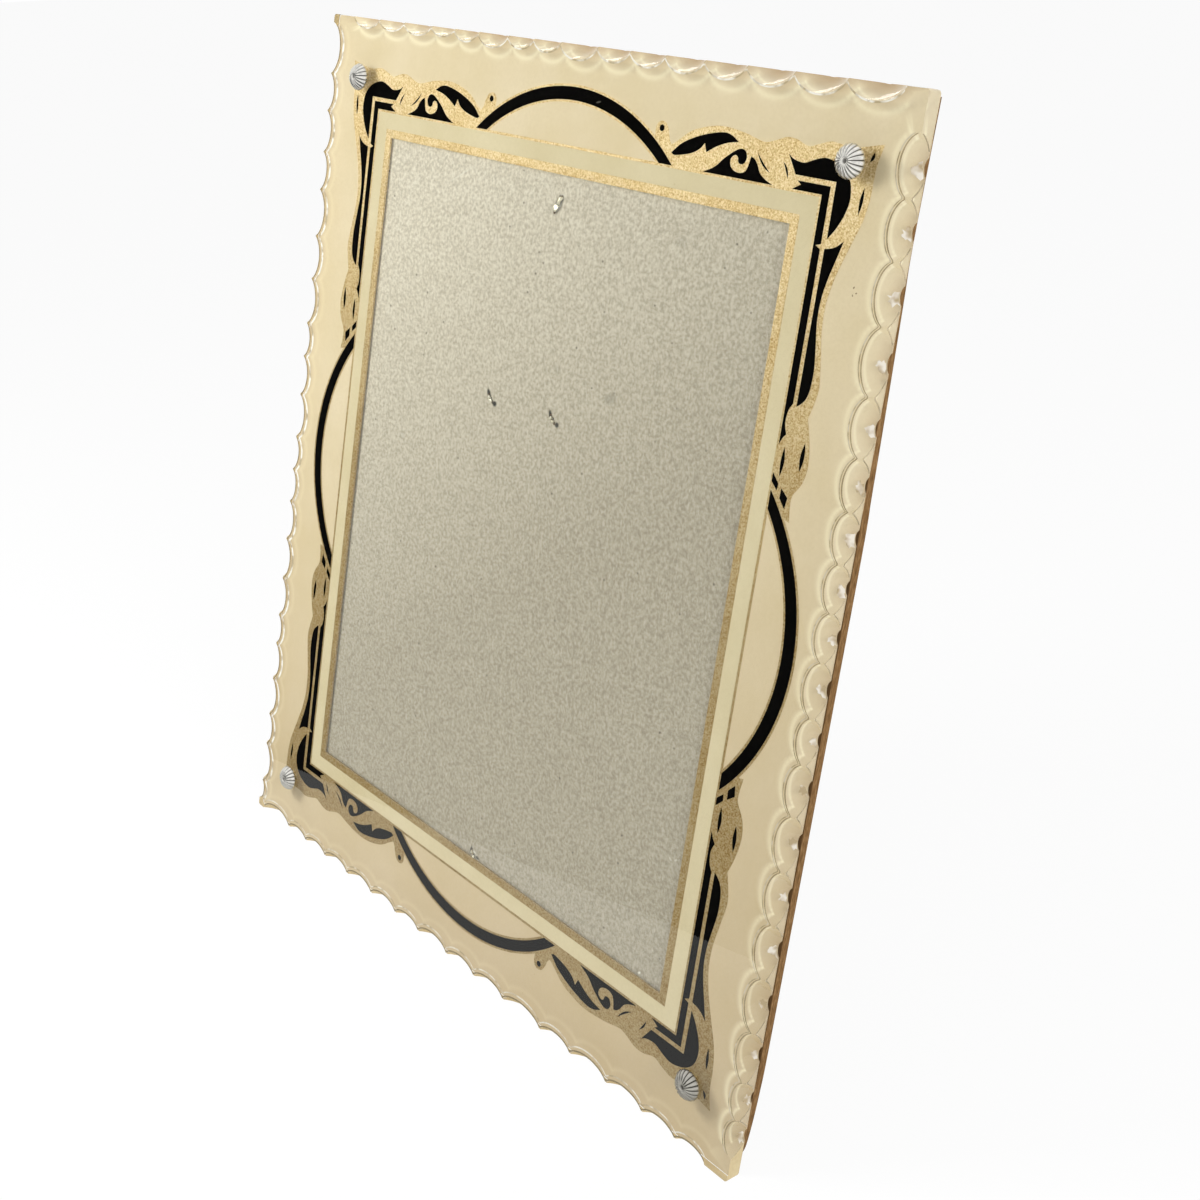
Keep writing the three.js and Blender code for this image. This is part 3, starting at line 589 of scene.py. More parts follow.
print("a smooth run through 3 points has", len(curve_through([(0, 0), (1, 1), (2, 0)])), "points")

# %% Slits, circles and rectangles
ROUND_STEPS = 8


def lens(start, end, width, bow=0.0):
    """Slit between two sharp ends, bowed to the left of the way from start to end."""
    start, end = Vector(start), Vector(end)
    aside = (end - start).orthogonal().normalized()
    sides = []
    for sign in (1, -1):
        for step in range(ROUND_STEPS):
            t = step / ROUND_STEPS if sign == 1 else 1 - step / ROUND_STEPS
            off = 4 * bow * t * (1 - t) + sign * width / 2 * math.sin(math.pi * t)
            sides.append(tuple(start.lerp(end, t) + aside * off))
    return sides


def circle(x, z, radius, steps=32):
    turns = [2 * math.pi * step / steps for step in range(steps)]
    return [(x + radius * math.cos(turn), z + radius * math.sin(turn)) for turn in turns]


def rectangle(half_x, half_z, radius=0.0):
    """Rectangle about the middle, with round corners if a radius is given."""
    if not radius:
        return [(-half_x, -half_z), (half_x, -half_z), (half_x, half_z), (-half_x, half_z)]
    points = []
    for quarter, (sx, sz) in enumerate(((1, 1), (-1, 1), (-1, -1), (1, -1))):
        for step in range(ROUND_STEPS + 1):
            turn = (quarter + step / ROUND_STEPS) * math.pi / 2
            points.append((sx * (half_x - radius) + radius * math.cos(turn),
                           sz * (half_z - radius) + radius * math.sin(turn)))
    return points


print("a rectangle with round corners has", len(rectangle(10, 10, 2)), "points")

# %% [markdown]
# ## Three ways to make a mesh
# A flat mesh is an outline filled between two depths, as sheet and film are. A turned mesh is a
# profile turned about an axis, as stampings and heads of rivets are. A swept mesh carries a
# section along a path, as wire and tape are. Modifiers could do much of this, but building from
# points gives each piece just the faces that its shape needs.

# %% Flat meshes
MERGE_MM, FLAT_DEGREES = 1e-5, 0.5


def flat_mesh(shapes, holes, front, back, finish=None, rim_finish=0, dots=()):
    """Slab between two depths that fills the shapes less the holes."""
    corners, loops = [], []
    for points in [*shapes, *holes]:
        doubled = sum(a[0] * b[1] - b[0] * a[1] for a, b in zip(points, [*points[1:], points[0]]))
        loops.append(list(range(len(corners), len(corners) + len(points))))
        corners += [Vector(p) for p in (points if doubled > 0 else points[::-1])]
    corners += [Vector(dot) for dot in dots]
    found, _, faces, _, _, sources = delaunay_2d_cdt(corners, [], loops, 1, MERGE_MM)
    mesh = bmesh.new()
    ahead, behind, rim = {}, {}, {}
    for face, source in zip(faces, sources):
        if not source or max(source) >= len(shapes):
            continue
        for corner in face:
            if corner not in ahead:
                ahead[corner] = mesh.verts.new((found[corner].x, front, found[corner].y))
                behind[corner] = mesh.verts.new((found[corner].x, back, found[corner].y))
        pair = (mesh.faces.new([ahead[c] for c in face]), mesh.faces.new([behind[c] for c in reversed(face)]))
        for made, is_back in zip(pair, (False, True)):
            made.material_index = finish(source, is_back) if finish else 0
        for a, b in zip(face, [*face[1:], face[0]]):
            if (b, a) in rim:
                del rim[b, a]
            else:
                rim[a, b] = True
    for a, b in rim:
        wall = mesh.faces.new([ahead[b], ahead[a], behind[a], behind[b]])
        wall.material_index = rim_finish
    if not dots:
        bmesh.ops.dissolve_limit(mesh, angle_limit=math.radians(FLAT_DEGREES), verts=mesh.verts,
                                 edges=mesh.edges, delimit={"MATERIAL"})
    return mesh


trial = flat_mesh([rectangle(5, 5)], [circle(0, 0, 2)], 0, 1)
print("a square plate with a round hole has", len(trial.faces), "faces")
trial.free()

# %% Turned and swept meshes
def grid_faces(mesh, rings):
    """Skins rows of vertices, each row a ring, and closes the two ends."""
    for ring, after in zip(rings, rings[1:]):
        for index, corner in enumerate(ring):
            other = (index + 1) % len(ring)
            mesh.faces.new([corner, ring[other], after[other], after[index]])
    mesh.faces.new(rings[0][::-1])
    mesh.faces.new(rings[-1])


def turned_mesh(profile, segments, shape=None):
    """Turns a profile of radius and depth about Y. A shape moves each point by its place and turn."""
    mesh = bmesh.new()
    rings = []
    for radius, depth in profile:
        ring = []
        for index in range(segments):
            turn = 2 * math.pi * index / segments
            r, y = shape(radius, depth, turn) if shape else (radius, depth)
            ring.append(mesh.verts.new((r * math.cos(turn), y, r * math.sin(turn))))
        rings.append(ring)
    grid_faces(mesh, rings)
    bmesh.ops.recalc_face_normals(mesh, faces=mesh.faces)
    return mesh


def swept_mesh(path, section, across=None):
    """Carries a closed section, drawn on two axes, along a path of points."""
    mesh = bmesh.new()
    path = [Vector(point) for point in path]
    rings = []
    for index, point in enumerate(path):
        along = (path[min(index + 1, len(path) - 1)] - path[max(index - 1, 0)]).normalized()
        side = (across or Vector((1, 0, 0))).copy()
        side = (side - along * side.dot(along)).normalized()
        up = along.cross(side)
        share = index / (len(path) - 1)
        ring = [mesh.verts.new(point + side * a + up * b) for a, b in section(share)]
        rings.append(ring)
    grid_faces(mesh, rings)
    bmesh.ops.recalc_face_normals(mesh, faces=mesh.faces)
    return mesh


def joined(*meshes):
    """One mesh from several, as separate closed shells."""
    whole = bmesh.new()
    for part in meshes:
        data = bpy.data.meshes.new("shell")
        part.to_mesh(data)
        part.free()
        whole.from_mesh(data)
        bpy.data.meshes.remove(data)
    return whole


trial = turned_mesh([(1, 0), (1, 2)], 12)
print("a twelve-sided peg has", len(trial.faces), "faces")
trial.free()

# %% [markdown]
# ## From a mesh to a piece
# A mesh is drawn in millimetres about its own origin, then shrunk to metres and laid in the axes
# of its board. Faces are shaded smooth up to an angle, and a small bevel wears sharp corners, as
# hands would. The piece then rides on its body, so that it moves with it, and takes the place of
# the CAD parts that it shows in more detail.

# %% Turn a mesh into a piece of the frame
BEVEL_ABOVE, BEVEL_STEPS = 50, 2


def dress(name, mesh, place, finishes, body, nodes=(), bevel=0.0, at=None, sharp=30,
          upright=False):
    """Makes an object from a mesh drawn in millimetres, finishes it and lets it ride on a body.

    If upright, its own axes are those of the frame, which keeps its box as small as the mesh."""
    data = bpy.data.meshes.new(name)
    mesh.transform(Matrix.Scale(MM, 4) @ Matrix.Translation(at or Vector()))
    mesh.to_mesh(data)
    mesh.free()
    data.shade_smooth()
    data.set_sharp_from_angle(angle=math.radians(sharp))
    for finish in finishes:
        data.materials.append(finish)
    made = bpy.data.objects.new(name, data)
    if upright:
        data.transform(place)
    else:
        made.matrix_world = place
    bpy.context.scene.collection.objects.link(made)
    if bevel:
        rounding = made.modifiers.new("worn corners", "BEVEL")
        rounding.width, rounding.segments = bevel * MM, BEVEL_STEPS
        rounding.limit_method, rounding.angle_limit = "ANGLE", math.radians(BEVEL_ABOVE)
        rounding.harden_normals = True
    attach(made, body)
    if nodes:
        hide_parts(*nodes)
    print(f"{name}: {len(data.polygons)} faces")
    return made


print("corners of more than", BEVEL_ABOVE, "degrees can be worn")

# %% [markdown]
# ## Glass panel
# On the real edge every flake was knocked off with a tool: a shell-shaped hollow, widest on the
# front face, that just nicks the back edge, with faint ripples spreading from the blow. The CAD
# part cuts plain ellipsoids at an even step. The same rule shapes the finer, rippled ones here,
# but each ridge between two flakes stands where the photograph has it, edge by edge: top, right,
# bottom and left. Neighbouring flakes overlap, so they are cut in two goes, even and odd ones.

# %% Where the flakes are
USUAL_LENGTH, CHIP_UNDERCUT = 11.9, 0.38
REACH, NOTCH = (3.2, 3.5, 2.7, 3.7), (0.12, 0.75, 0.3, 0.6)
SHALLOW_BEFORE, SHALLOW, LARGEST = -45.0, 0.8, 1.15
SCOOP_AHEAD, OVERLAP = 4.0, (1.04, 1.04, 1.07, 1.08)
RIDGES = [
    (-90.3, -78.8, -67.6, -55.6, -45.9, -36.2, -24.5, -14.8, -5.1, 7.8, 18.7, 29.9, 41.8, 54.0,
     67.0, 80.7, 94.9),
    (-111.8, -99.4, -87.2, -74.3, -60.3, -47.8, -36.6, -25.6, -15.0, -4.2, 8.1, 18.6, 30.6, 43.6,
     56.2, 69.3, 82.6, 95.0, 104.7, 114.0),
    (-93.0, -83.4, -72.4, -59.9, -46.8, -35.2, -20.4, -8.2, 3.7, 16.5, 27.4, 39.2, 51.4, 63.1, 73.6,
     83.2, 97.0),
    (-117.7, -111.5, -99.2, -89.2, -77.5, -66.0, -56.7, -44.9, -32.4, -20.7, -10.7, -0.7, 12.1,
     23.5, 33.4, 46.3, 58.7, 71.9, 82.6, 94.0, 104.3, 117.5),
]
EDGES = [(0, HALF_HEIGHT), (90, HALF_WIDTH), (180, HALF_HEIGHT), (270, HALF_WIDTH)]


def flake_rule(half_length, reach, notch):
    """Sizes of a flake's ellipsoid, how far out its middle is, and its shares at front and back."""
    depth = SCOOP_AHEAD + THICKNESS + CHIP_UNDERCUT
    front = math.sqrt(1 - (SCOOP_AHEAD / depth) ** 2)
    back = math.sqrt(1 - ((SCOOP_AHEAD + THICKNESS) / depth) ** 2)
    inward = (reach - notch) / (front - back)
    outside = inward * front - reach
    length = half_length / math.sqrt(front ** 2 - (outside / inward) ** 2)
    return (length, depth, inward), outside, front, back


def flakes():
    """Edge, place along it, half length, reach and notch of each flake, one between two ridges."""
    for edge, ridges in enumerate(RIDGES):
        for start, end in zip(ridges, ridges[1:]):
            size = min((end - start) / USUAL_LENGTH, LARGEST)
            if edge == 0 and end < SHALLOW_BEFORE:
                size *= SHALLOW
            half_length = OVERLAP[edge] * (end - start) / 2
            yield edge, (start + end) / 2, half_length, REACH[edge] * size, NOTCH[edge] * size


print(len(list(flakes())), "flakes on four edges")

# %% Rippled ellipsoids
RIPPLE_MM, RIPPLE_HEIGHT, RIPPLE_SEED = 1.9, 0.015, 11
WAVER, ROWS, COLUMNS = 0.035, 48, 96


def on_panel(edge, along, out):
    """X and Z of a place along an edge, a distance out from the middle of the panel."""
    turn = math.radians(EDGES[edge][0])
    return math.cos(turn) * along + math.sin(turn) * out, math.cos(turn) * out - math.sin(turn) * along


def flake_points(edge, along, half_length, reach, notch, draw):
    """Points of one rippled ellipsoid, row by row along the edge."""
    (length, depth, inward), outside, _, _ = flake_rule(half_length, reach, notch)
    tip = np.linspace(0, math.pi, ROWS + 1)[1:-1, None]
    round_it = np.linspace(0, 2 * math.pi, COLUMNS, endpoint=False)[None, :]
    x = length * np.cos(tip) + 0 * round_it
    y = depth * np.sin(tip) * np.cos(round_it)
    z = inward * np.sin(tip) * np.sin(round_it)
    blow = (draw.uniform(-0.1, 0.1) * length, SCOOP_AHEAD + THICKNESS, -outside - notch)
    far = np.sqrt((x - blow[0]) ** 2 + (y - blow[1]) ** 2 + (z - blow[2]) ** 2)
    wave = np.sin(2 * math.pi * far / RIPPLE_MM + draw.uniform(0, 6))
    ripple = RIPPLE_HEIGHT * wave * np.clip(far / 2, 0, 1)
    waver = WAVER * np.sin(3 * tip + draw.uniform(0, 6)) * np.sin(tip)
    grow = 1 + ripple / inward + waver * (x / length)
    points = np.stack([x, y * (1 + ripple / depth), z * grow], -1)
    points = np.concatenate([[[length, 0, 0]], points.reshape(-1, 3), [[-length, 0, 0]]])
    x, z = on_panel(edge, points[:, 0] + along, points[:, 2] + EDGES[edge][1] + outside)
    return np.stack([x, points[:, 1] - SCOOP_AHEAD, z], -1)


print("each ellipsoid has", ROWS * COLUMNS, "faces")

# %% Tools that cut the flakes
CLEAR, WETTED, FLAKED, REFLECTION_SKIN = range(4)


def loose(name, data):
    """An object for a mesh with the finishes of the glass, in the scene but not yet a piece."""
    for finish in (sheet_glass, contact, flaked_glass):
        data.materials.append(finish)
    made = bpy.data.objects.new(name, data)
    bpy.context.scene.collection.objects.link(made)
    return made


def flake_cutter(name, chosen, draw):
    """One object that holds every chosen ellipsoid."""
    corners, faces = [], []
    for flake in chosen:
        points = flake_points(*flake, draw)
        base = len(corners)
        corners += points.tolist()
        last = base + len(points) - 1
        for column in range(COLUMNS):
            other = (column + 1) % COLUMNS
            faces.append((base, base + 1 + other, base + 1 + column))
            faces.append((last, last - COLUMNS + column, last - COLUMNS + other))
            for row in range(ROWS - 2):
                here = base + 1 + row * COLUMNS
                after = here + COLUMNS
                faces.append((here + column, here + other, after + other, after + column))
    data = bpy.data.meshes.new(name)
    data.from_pydata(corners, [], faces)
    mesh = bmesh.new()
    mesh.from_mesh(data)
    bmesh.ops.recalc_face_normals(mesh, faces=mesh.faces)
    for face in mesh.faces:
        face.material_index = FLAKED
    mesh.to_mesh(data)
    mesh.free()
    return loose(name, data)


print("a flaked face has finish", FLAKED, "of the glass")

# %% [markdown]
# ### The cut sheet
# The sheet is a plate with round corners and four holes for the pins. Each face has one of four
# finishes: clear, wetted by paint on the back, flaked, or a cream skin that paints the reflection of
# the paint in the flakes. The last is where the real rim looks cream and not clear: on the hollows
# at the left and the bottom, except close to the front face, and on the whole rim beside them and at
# the bottom right corner.

# %% Window and pin holes
PIN_HOLE, CORNER_RADIUS = 1.4, 0.8
LINER_WIDTH = 2.2

liner_high = span("gold_liner", PANEL)[1]
WINDOW_X, WINDOW_Z = liner_high.x - LINER_WIDTH, liner_high.z - LINER_WIDTH
CORNERS = ("top_left", "top_right", "bottom_left", "bottom_right")
pins = {name: middle("rosette_cap_" + name, PANEL) for name in CORNERS}
pin_holes = [circle(pin.x, pin.z, PIN_HOLE) for pin in pins.values()]
print(f"window {2 * WINDOW_X:.1f} x {2 * WINDOW_Z:.1f} mm")

# %% Sheet of glass, cut by the flakes
# where the cream skin of painted reflection covers the rim
SKIN_WITHIN, SKIN_BELOW, WHOLE_CORNER = 4.0, 0.5, 8.0
SIDEWAYS = 0.3


def glass_face(source, is_back):
    """Paint wets the back face everywhere but in the window, which is the second outline."""
    return WETTED if is_back and 1 not in source else CLEAR


def shows_painted_reflection(face):
    """Whether a face of the rim takes the cream skin of painted reflection, by where it is and which way it
    looks.
    """
    at = face.calc_center_median()
    near = min(at.x + HALF_WIDTH, at.z + HALF_HEIGHT) < SKIN_WITHIN
    whole_rim = face.material_index == CLEAR and abs(face.normal.y) < SIDEWAYS
    at_tip = at.x > HALF_WIDTH - WHOLE_CORNER and at.z < WHOLE_CORNER - HALF_HEIGHT
    behind_front = at.y > SKIN_BELOW and (face.material_index == FLAKED or whole_rim)
    return near and behind_front or at_tip and whole_rim


def glass_mesh():
    outlines = [rectangle(HALF_WIDTH, HALF_HEIGHT, CORNER_RADIUS), rectangle(WINDOW_X, WINDOW_Z)]
    sheet = flat_mesh(outlines, pin_holes, 0, THICKNESS, finish=glass_face)
    data = bpy.data.meshes.new("uncut sheet")
    bmesh.ops.triangulate(sheet, faces=sheet.faces)
    sheet.to_mesh(data)
    sheet.free()
    uncut = loose("uncut sheet", data)
    draw = np.random.default_rng(RIPPLE_SEED)
    every = list(flakes())
    cutters = [flake_cutter("even flakes", every[0::2], draw), flake_cutter("odd flakes", every[1::2], draw)]
    for cutter in cutters:
        cut = uncut.modifiers.new(cutter.name, "BOOLEAN")
        cut.operation, cut.solver, cut.object = "DIFFERENCE", "MANIFOLD", cutter
        cut.material_mode = "INDEX"
    shaped = uncut.evaluated_get(bpy.context.evaluated_depsgraph_get()).to_mesh()
    mesh = bmesh.new()
    mesh.from_mesh(shaped)
    uncut.evaluated_get(bpy.context.evaluated_depsgraph_get()).to_mesh_clear()
    for tool in (uncut, *cutters):
        bpy.data.objects.remove(tool)
    for face in mesh.faces:
        if shows_painted_reflection(face):
            face.material_index = REFLECTION_SKIN
    print(len(every), "flakes cut")
    return mesh


dress("chipped_glass_panel", glass_mesh(), PANEL, (sheet_glass, contact, flaked_glass, cream_reflection_skin), "root",
      ["glass_panel"], sharp=24)

# %% [markdown]
# ## Printed ornament
# Black lies nearest the glass, gold behind it and cream last, as they were laid on the real
# sheet, so each colour is a thin film just behind the one before. The corner ornament is drawn
# once, for the top right corner, measured outwards from the corner of the window, and mirrored
# to the other three. Arcs are true circles, as in the CAD part.

# %% Depths of the three films
FILM, FIRST_GAP, FILM_GAP = 0.04, 0.05, 0.02
black_front = THICKNESS + FIRST_GAP
gold_front = black_front + FILM + FILM_GAP
cream_front = gold_front + FILM + FILM_GAP
cream_back = span("painted_mat", PANEL)[1].y
print(f"films start {black_front:.2f}, {gold_front:.2f} and {cream_front:.2f} mm behind the front face")

# %% Black shapes of one corner
leaf = outline(
    [(-36.5, 9.8), (-33.5, 12.3), (-28.7, 14.4), (-23.2, 15.8), (-20.0, 15.8), (-17.3, 14.5)],
    [(-17.3, 14.5), (-20.4, 13.9), (-23.3, 12.8), (-26.1, 11.2)],
    [(-26.1, 11.2), (-26.9, 13.1)],
    [(-26.9, 13.1), (-28.1, 11.7), (-30.6, 10.4), (-35.1, 9.4), (-36.5, 9.8)],
)
curl = outline(
    [(-26.3, 7.0), (-23.1, 8.5), (-20.6, 10.7), (-18.0, 12.5), (-16.3, 13.2), (-15.0, 12.9), (-14.4, 11.6),
     (-14.9, 10.3), (-15.9, 10.0), (-16.6, 10.4), (-16.8, 11.2), (-17.4, 11.7), (-18.2, 11.5), (-18.8, 10.8),
     (-18.8, 9.8), (-18.2, 8.9), (-17.0, 8.3), (-15.6, 8.2), (-14.3, 8.7), (-13.7, 9.8), (-13.2, 12.0)],
    [(-13.2, 12.0), (-12.2, 11.6), (-11.2, 10.6), (-10.2, 9.0), (-8.6, 7.9), (-6.3, 7.0)],
    [(-6.3, 7.0), (-26.3, 7.0)],
)
hook = outline(
    [(-3.2, 13.9), (-1.9, 13.1), (-0.2, 12.7), (1.5, 12.7), (3.8, 13.6), (6.4, 14.3), (9.2, 13.8),
     (11.8, 12.5), (13.6, 10.3), (14.2, 7.2), (13.6, 4.2), (12.1, 1.1), (10.2, -1.5)],
    [(10.2, -1.5), (10.1, 10.0)],
    [(10.1, 10.0), (-0.6, 10.0)],
    [(-0.6, 10.0), (-3.2, 13.9)],
)
inner_band = outline(
    [(-1.0, 7.0), (1.2, 8.2)],
    [(1.2, 8.2), (0.2, 8.9)],
    [(0.2, 8.9), (8.9, 8.9)],
    [(8.9, 8.9), (8.9, -2.7)],
    [(8.9, -2.7), (7.6, -3.1)],
    [(7.6, -3.1), (8.9, -3.8)],
    [(8.9, -3.8), (8.9, -36.0)],
    [(8.9, -36.0), (8.0, -37.6), (7.7, -39.8), (7.9, -41.3), (8.5, -42.7)],
    [(8.5, -42.7), (7.7, -43.7), (7.0, -45.2)],
    [(7.0, -45.2), (7.0, 7.0)],
    [(7.0, 7.0), (-1.0, 7.0)],
)
outer_band = outline(
    [(14.5, -1.2), (13.1, -2.4), (11.7, -3.1), (10.0, -3.5)],
    [(10.0, -3.5), (9.9, -36.4)],
    [(9.9, -36.4), (11.0, -35.5), (12.0, -34.2), (12.6, -31.9), (12.7, -27.6), (12.0, -22.8), (11.3, -17.9),
     (11.4, -13.3), (12.2, -9.2), (13.3, -5.4), (14.5, -1.2)],
)
slits = [
    lens((-11.6, 13.1), (-7.4, 9.3), 0.5, -0.4),
    lens((-4.3, 12.1), (-2.5, 8.8), 0.5, 0.3),
    lens((18.2, 16.9), (17.4, 14.9), 0.7, 0.2),
    lens((17.2, 9.9), (16.8, 4.4), 0.8),
    lens((8.7, -45.4), (8.6, -51.8), 0.95, 0.1),
    lens((13.8, -43.2), (13.5, -49.5), 1.05),
    [(6.8, -51.4), (8.7, -53.4), (8.5, -54.9), (6.8, -53.3)],
    [(9.7, -54.1), (11.7, -55.7), (11.3, -58.2), (9.6, -56.3)],
]
corner_black = [leaf, curl, hook, inner_band, outer_band, *slits]
print(len(corner_black), "black outlines in each corner")

# %% Gold behind one corner
GOLD_LINE = (6.45, 7.1)
gold_scroll = outline(
    [(-36.9, 6.8), (-39.6, 9.6), (-42.2, 12.2)],
    [(-42.2, 12.2), (-42.2, 15.0), (-41.0, 16.2), (-39.3, 15.9), (-38.2, 14.3), (-37.6, 12.6), (-36.8, 11.5)],
    [(-36.8, 11.5), (-35.0, 12.6), (-31.9, 14.8), (-28.7, 16.1), (-24.0, 17.1), (-20.0, 17.1), (-15.0, 16.4),
     (-10.4, 15.4), (-7.6, 16.0), (-4.6, 17.1), (-1.7, 17.0), (1.6, 16.0), (4.2, 16.8), (7.4, 17.7),
     (11.0, 17.3), (15.1, 17.6), (20.3, 18.7)],
    [(20.3, 18.7), (19.2, 14.2), (19.0, 8.6), (18.2, 3.4), (16.0, -2.6), (13.9, -8.6), (12.8, -14.2),
     (12.9, -19.6), (13.8, -25.0), (14.8, -31.0), (14.3, -34.6), (13.3, -38.1)],
    [(13.3, -38.1), (14.3, -41.0), (15.2, -44.8), (15.5, -48.4), (14.7, -51.8), (12.8, -54.9), (12.7, -57.4),
     (13.2, -60.6)],
    [(13.2, -60.6), (10.0, -60.0)],
    [(10.0, -60.0), (6.6, -55.4)],
    [(6.6, -55.4), (6.6, 6.6)],
    [(6.6, 6.6), (-36.9, 6.8)],
)
BEAD = (-40.4, 14.7, 0.75)
print(len(gold_scroll), "points round one gold scroll")

# %% Arcs between the corners
ARC_RISE_FROM_WINDOW, ARC_OUTER, ARC_INNER, ARC_THICK = 20.6, 51.3, 50.0, 3.1
ARC_FOOT, FOOT_GROWS = 7.0, 0.3
ARC_GOLD = 0.55
ARC_STEPS = 32


def crescent(turn, half, grown):
    """Crescent over one side of the window, between two circles, grown evenly by some gold."""
    outer, inner = ARC_OUTER + grown, ARC_INNER - grown
    foot = ARC_FOOT - FOOT_GROWS * grown
    outer_middle = ARC_RISE_FROM_WINDOW - ARC_OUTER
    inner_middle = ARC_RISE_FROM_WINDOW - ARC_THICK - ARC_INNER
    points = []
    for radius, centre, way in ((outer, outer_middle, 1), (inner, inner_middle, -1)):
        reach = math.acos((foot - centre) / radius)
        for step in range(ARC_STEPS + 1):
            angle = way * reach * (1 - 2 * step / ARC_STEPS)
            points.append((radius * math.sin(angle), half + centre + radius * math.cos(angle)))
    c, s = math.cos(turn), math.sin(turn)
    return [(c * x + s * z, -s * x + c * z) for x, z in points]


SIDES = [(0, WINDOW_Z), (math.pi / 2, WINDOW_X), (math.pi, WINDOW_Z), (-math.pi / 2, WINDOW_X)]


def mirrored(points, signs):
    """Carries a corner's outline to one corner of the window."""
    return [(signs[0] * (WINDOW_X + u), signs[1] * (WINDOW_Z + v)) for u, v in points]


print(f"arcs rise {ARC_RISE_FROM_WINDOW} mm from the window")

# %% Cut the films
corner_signs = [(x, z) for x in (-1, 1) for z in (-1, 1)]
black_shapes = [mirrored(shape, signs) for signs in corner_signs for shape in corner_black]
black_shapes += [crescent(turn, half, 0) for turn, half in SIDES]
black_shapes += [mirrored(circle(*BEAD, 16), signs) for signs in corner_signs]
black_nodes = [node for node in frame["nodes"] if node.startswith(("black_arc_", "black_band_"))]
dress("black_lacquer_film", flat_mesh(black_shapes, pin_holes, black_front, black_front + FILM), PANEL,
      [black], "root", black_nodes)

gold_shapes = [mirrored(gold_scroll, signs) for signs in corner_signs]
gold_shapes += [crescent(turn, half, ARC_GOLD) for turn, half in SIDES]
(near_x, far_x), (near_z, far_z) = [[side + line for line in GOLD_LINE] for side in (WINDOW_X, WINDOW_Z)]
for x0, x1, z0, z1 in ((near_x, far_x, -far_z, far_z), (-far_x, -near_x, -far_z, far_z),
                       (-far_x, far_x, near_z, far_z), (-far_x, far_x, -far_z, -near_z)):
    gold_shapes.append([(x0, z0), (x1, z0), (x1, z1), (x0, z1)])
dress("gold_ornament_film", flat_mesh(gold_shapes, pin_holes, gold_front, gold_front + FILM), PANEL,
      [gold], "root")
around_liner = rectangle(WINDOW_X + LINER_WIDTH, WINDOW_Z + LINER_WIDTH)
liner = flat_mesh([around_liner], [rectangle(WINDOW_X, WINDOW_Z)], gold_front, cream_back)
dress("gold_window_liner", liner, PANEL, [gold], "root", ["gold_liner"])

# %% [markdown]
# ### Light on the cream
# Just inside each flake a bright line lies on the paint, where the curved glass gathers the light,
# and under the flake the paint is dimmer. Tracing such light takes very many rays, so a formula
# puts it there: how far each flake reaches in says where the line runs. Both shares are stored in
# the vertices, so the film gets extra vertices along those lines.

# %% Shares of gathered and dimmed light
GATHERED_IN, GATHERED = (2.1, 3.2, 2.2, 1.6), (1.0, 1.0, 0.25, 0.3)
GATHERED_WIDE = 0.62
SPOT_EDGE, SPOT_PAST_MIDDLE, SPOT_IN, SPOT_SIZE = 1, 0.8, 1.4, 0.8
INWARD_FADE, OUTWARD_FADE, FULL_FROM, LOST_IN_DEEP = 0.8, 1.2, 0.4, 0.5
DIMMED, DIMMED_PAST = (0.8, 0.35, 0.1, 0.6), 0.6


def front_arc(edge, along):
    """How far in the flakes of an edge reach on the front face, at places along it."""
    depth = np.zeros_like(along)
    for flake_edge, middle_at, *size in flakes():
        if flake_edge == edge:
            (length, _, inward), outside, front, _ = flake_rule(*size)
            share = np.clip(1 - ((along - middle_at) / (length * front)) ** 2, 0, 1)
            depth = np.maximum(depth, inward * front * np.sqrt(share) - outside)
    return depth


def thrown_light(x, z):
    """Shares of gathered and dimmed light at points of the panel."""
    gathered, dimmed = np.zeros_like(x), np.zeros_like(x)
    for edge, (turn, distance) in enumerate(EDGES):
        c, s = math.cos(math.radians(turn)), math.sin(math.radians(turn))
        along, inside = c * x - s * z, distance - (s * x + c * z)
        arc = front_arc(edge, along)
        off = (inside - arc - GATHERED_IN[edge]) / GATHERED_WIDE
        faded = np.where(off > 0, off * INWARD_FADE, off * OUTWARD_FADE)
        bright = np.exp(-faded ** 2) * np.clip(arc / FULL_FROM, 0, 1)
        gathered = np.maximum(gathered, GATHERED[edge] * bright * (1 - LOST_IN_DEEP * arc / REACH[edge]))
        dimmed = np.maximum(dimmed, DIMMED[edge] * np.clip((arc + DIMMED_PAST - inside) / REACH[edge], 0, 1))
        if edge == SPOT_EDGE:
            for flake_edge, middle_at, *_ in flakes():
                if flake_edge == edge:
                    away = np.hypot(along - middle_at - SPOT_PAST_MIDDLE, inside - SPOT_IN) / SPOT_SIZE
                    gathered = np.maximum(gathered, np.exp(-away ** 2))
    return gathered, dimmed


print(f"top flakes reach in {front_arc(0, np.linspace(-90, 90, 400)).max():.1f} mm at most")

# %% Extra vertices, and nicks at the back
DOTS_ALONG, DOT_ROWS, DOT_STEP, DOT_MARGIN = 14, (-9, -3, -2, -1, 0, 1, 2, 3, 5), 0.32, 0.3
NICK_STEPS = 24


def arc_dots():
    """Extra vertices for the film, in rows that follow each flake."""
    dots = []
    for edge, along, half, _, _ in flakes():
        places = along + half * np.linspace(-0.95, 1, DOTS_ALONG)
        for off in DOT_ROWS:
            inside = front_arc(edge, places) + GATHERED_IN[edge] + off * DOT_STEP
            for place, depth in zip(places, inside):
                if depth > DOT_MARGIN:
                    dots.append(on_panel(edge, place, EDGES[edge][1] - depth))
    return dots


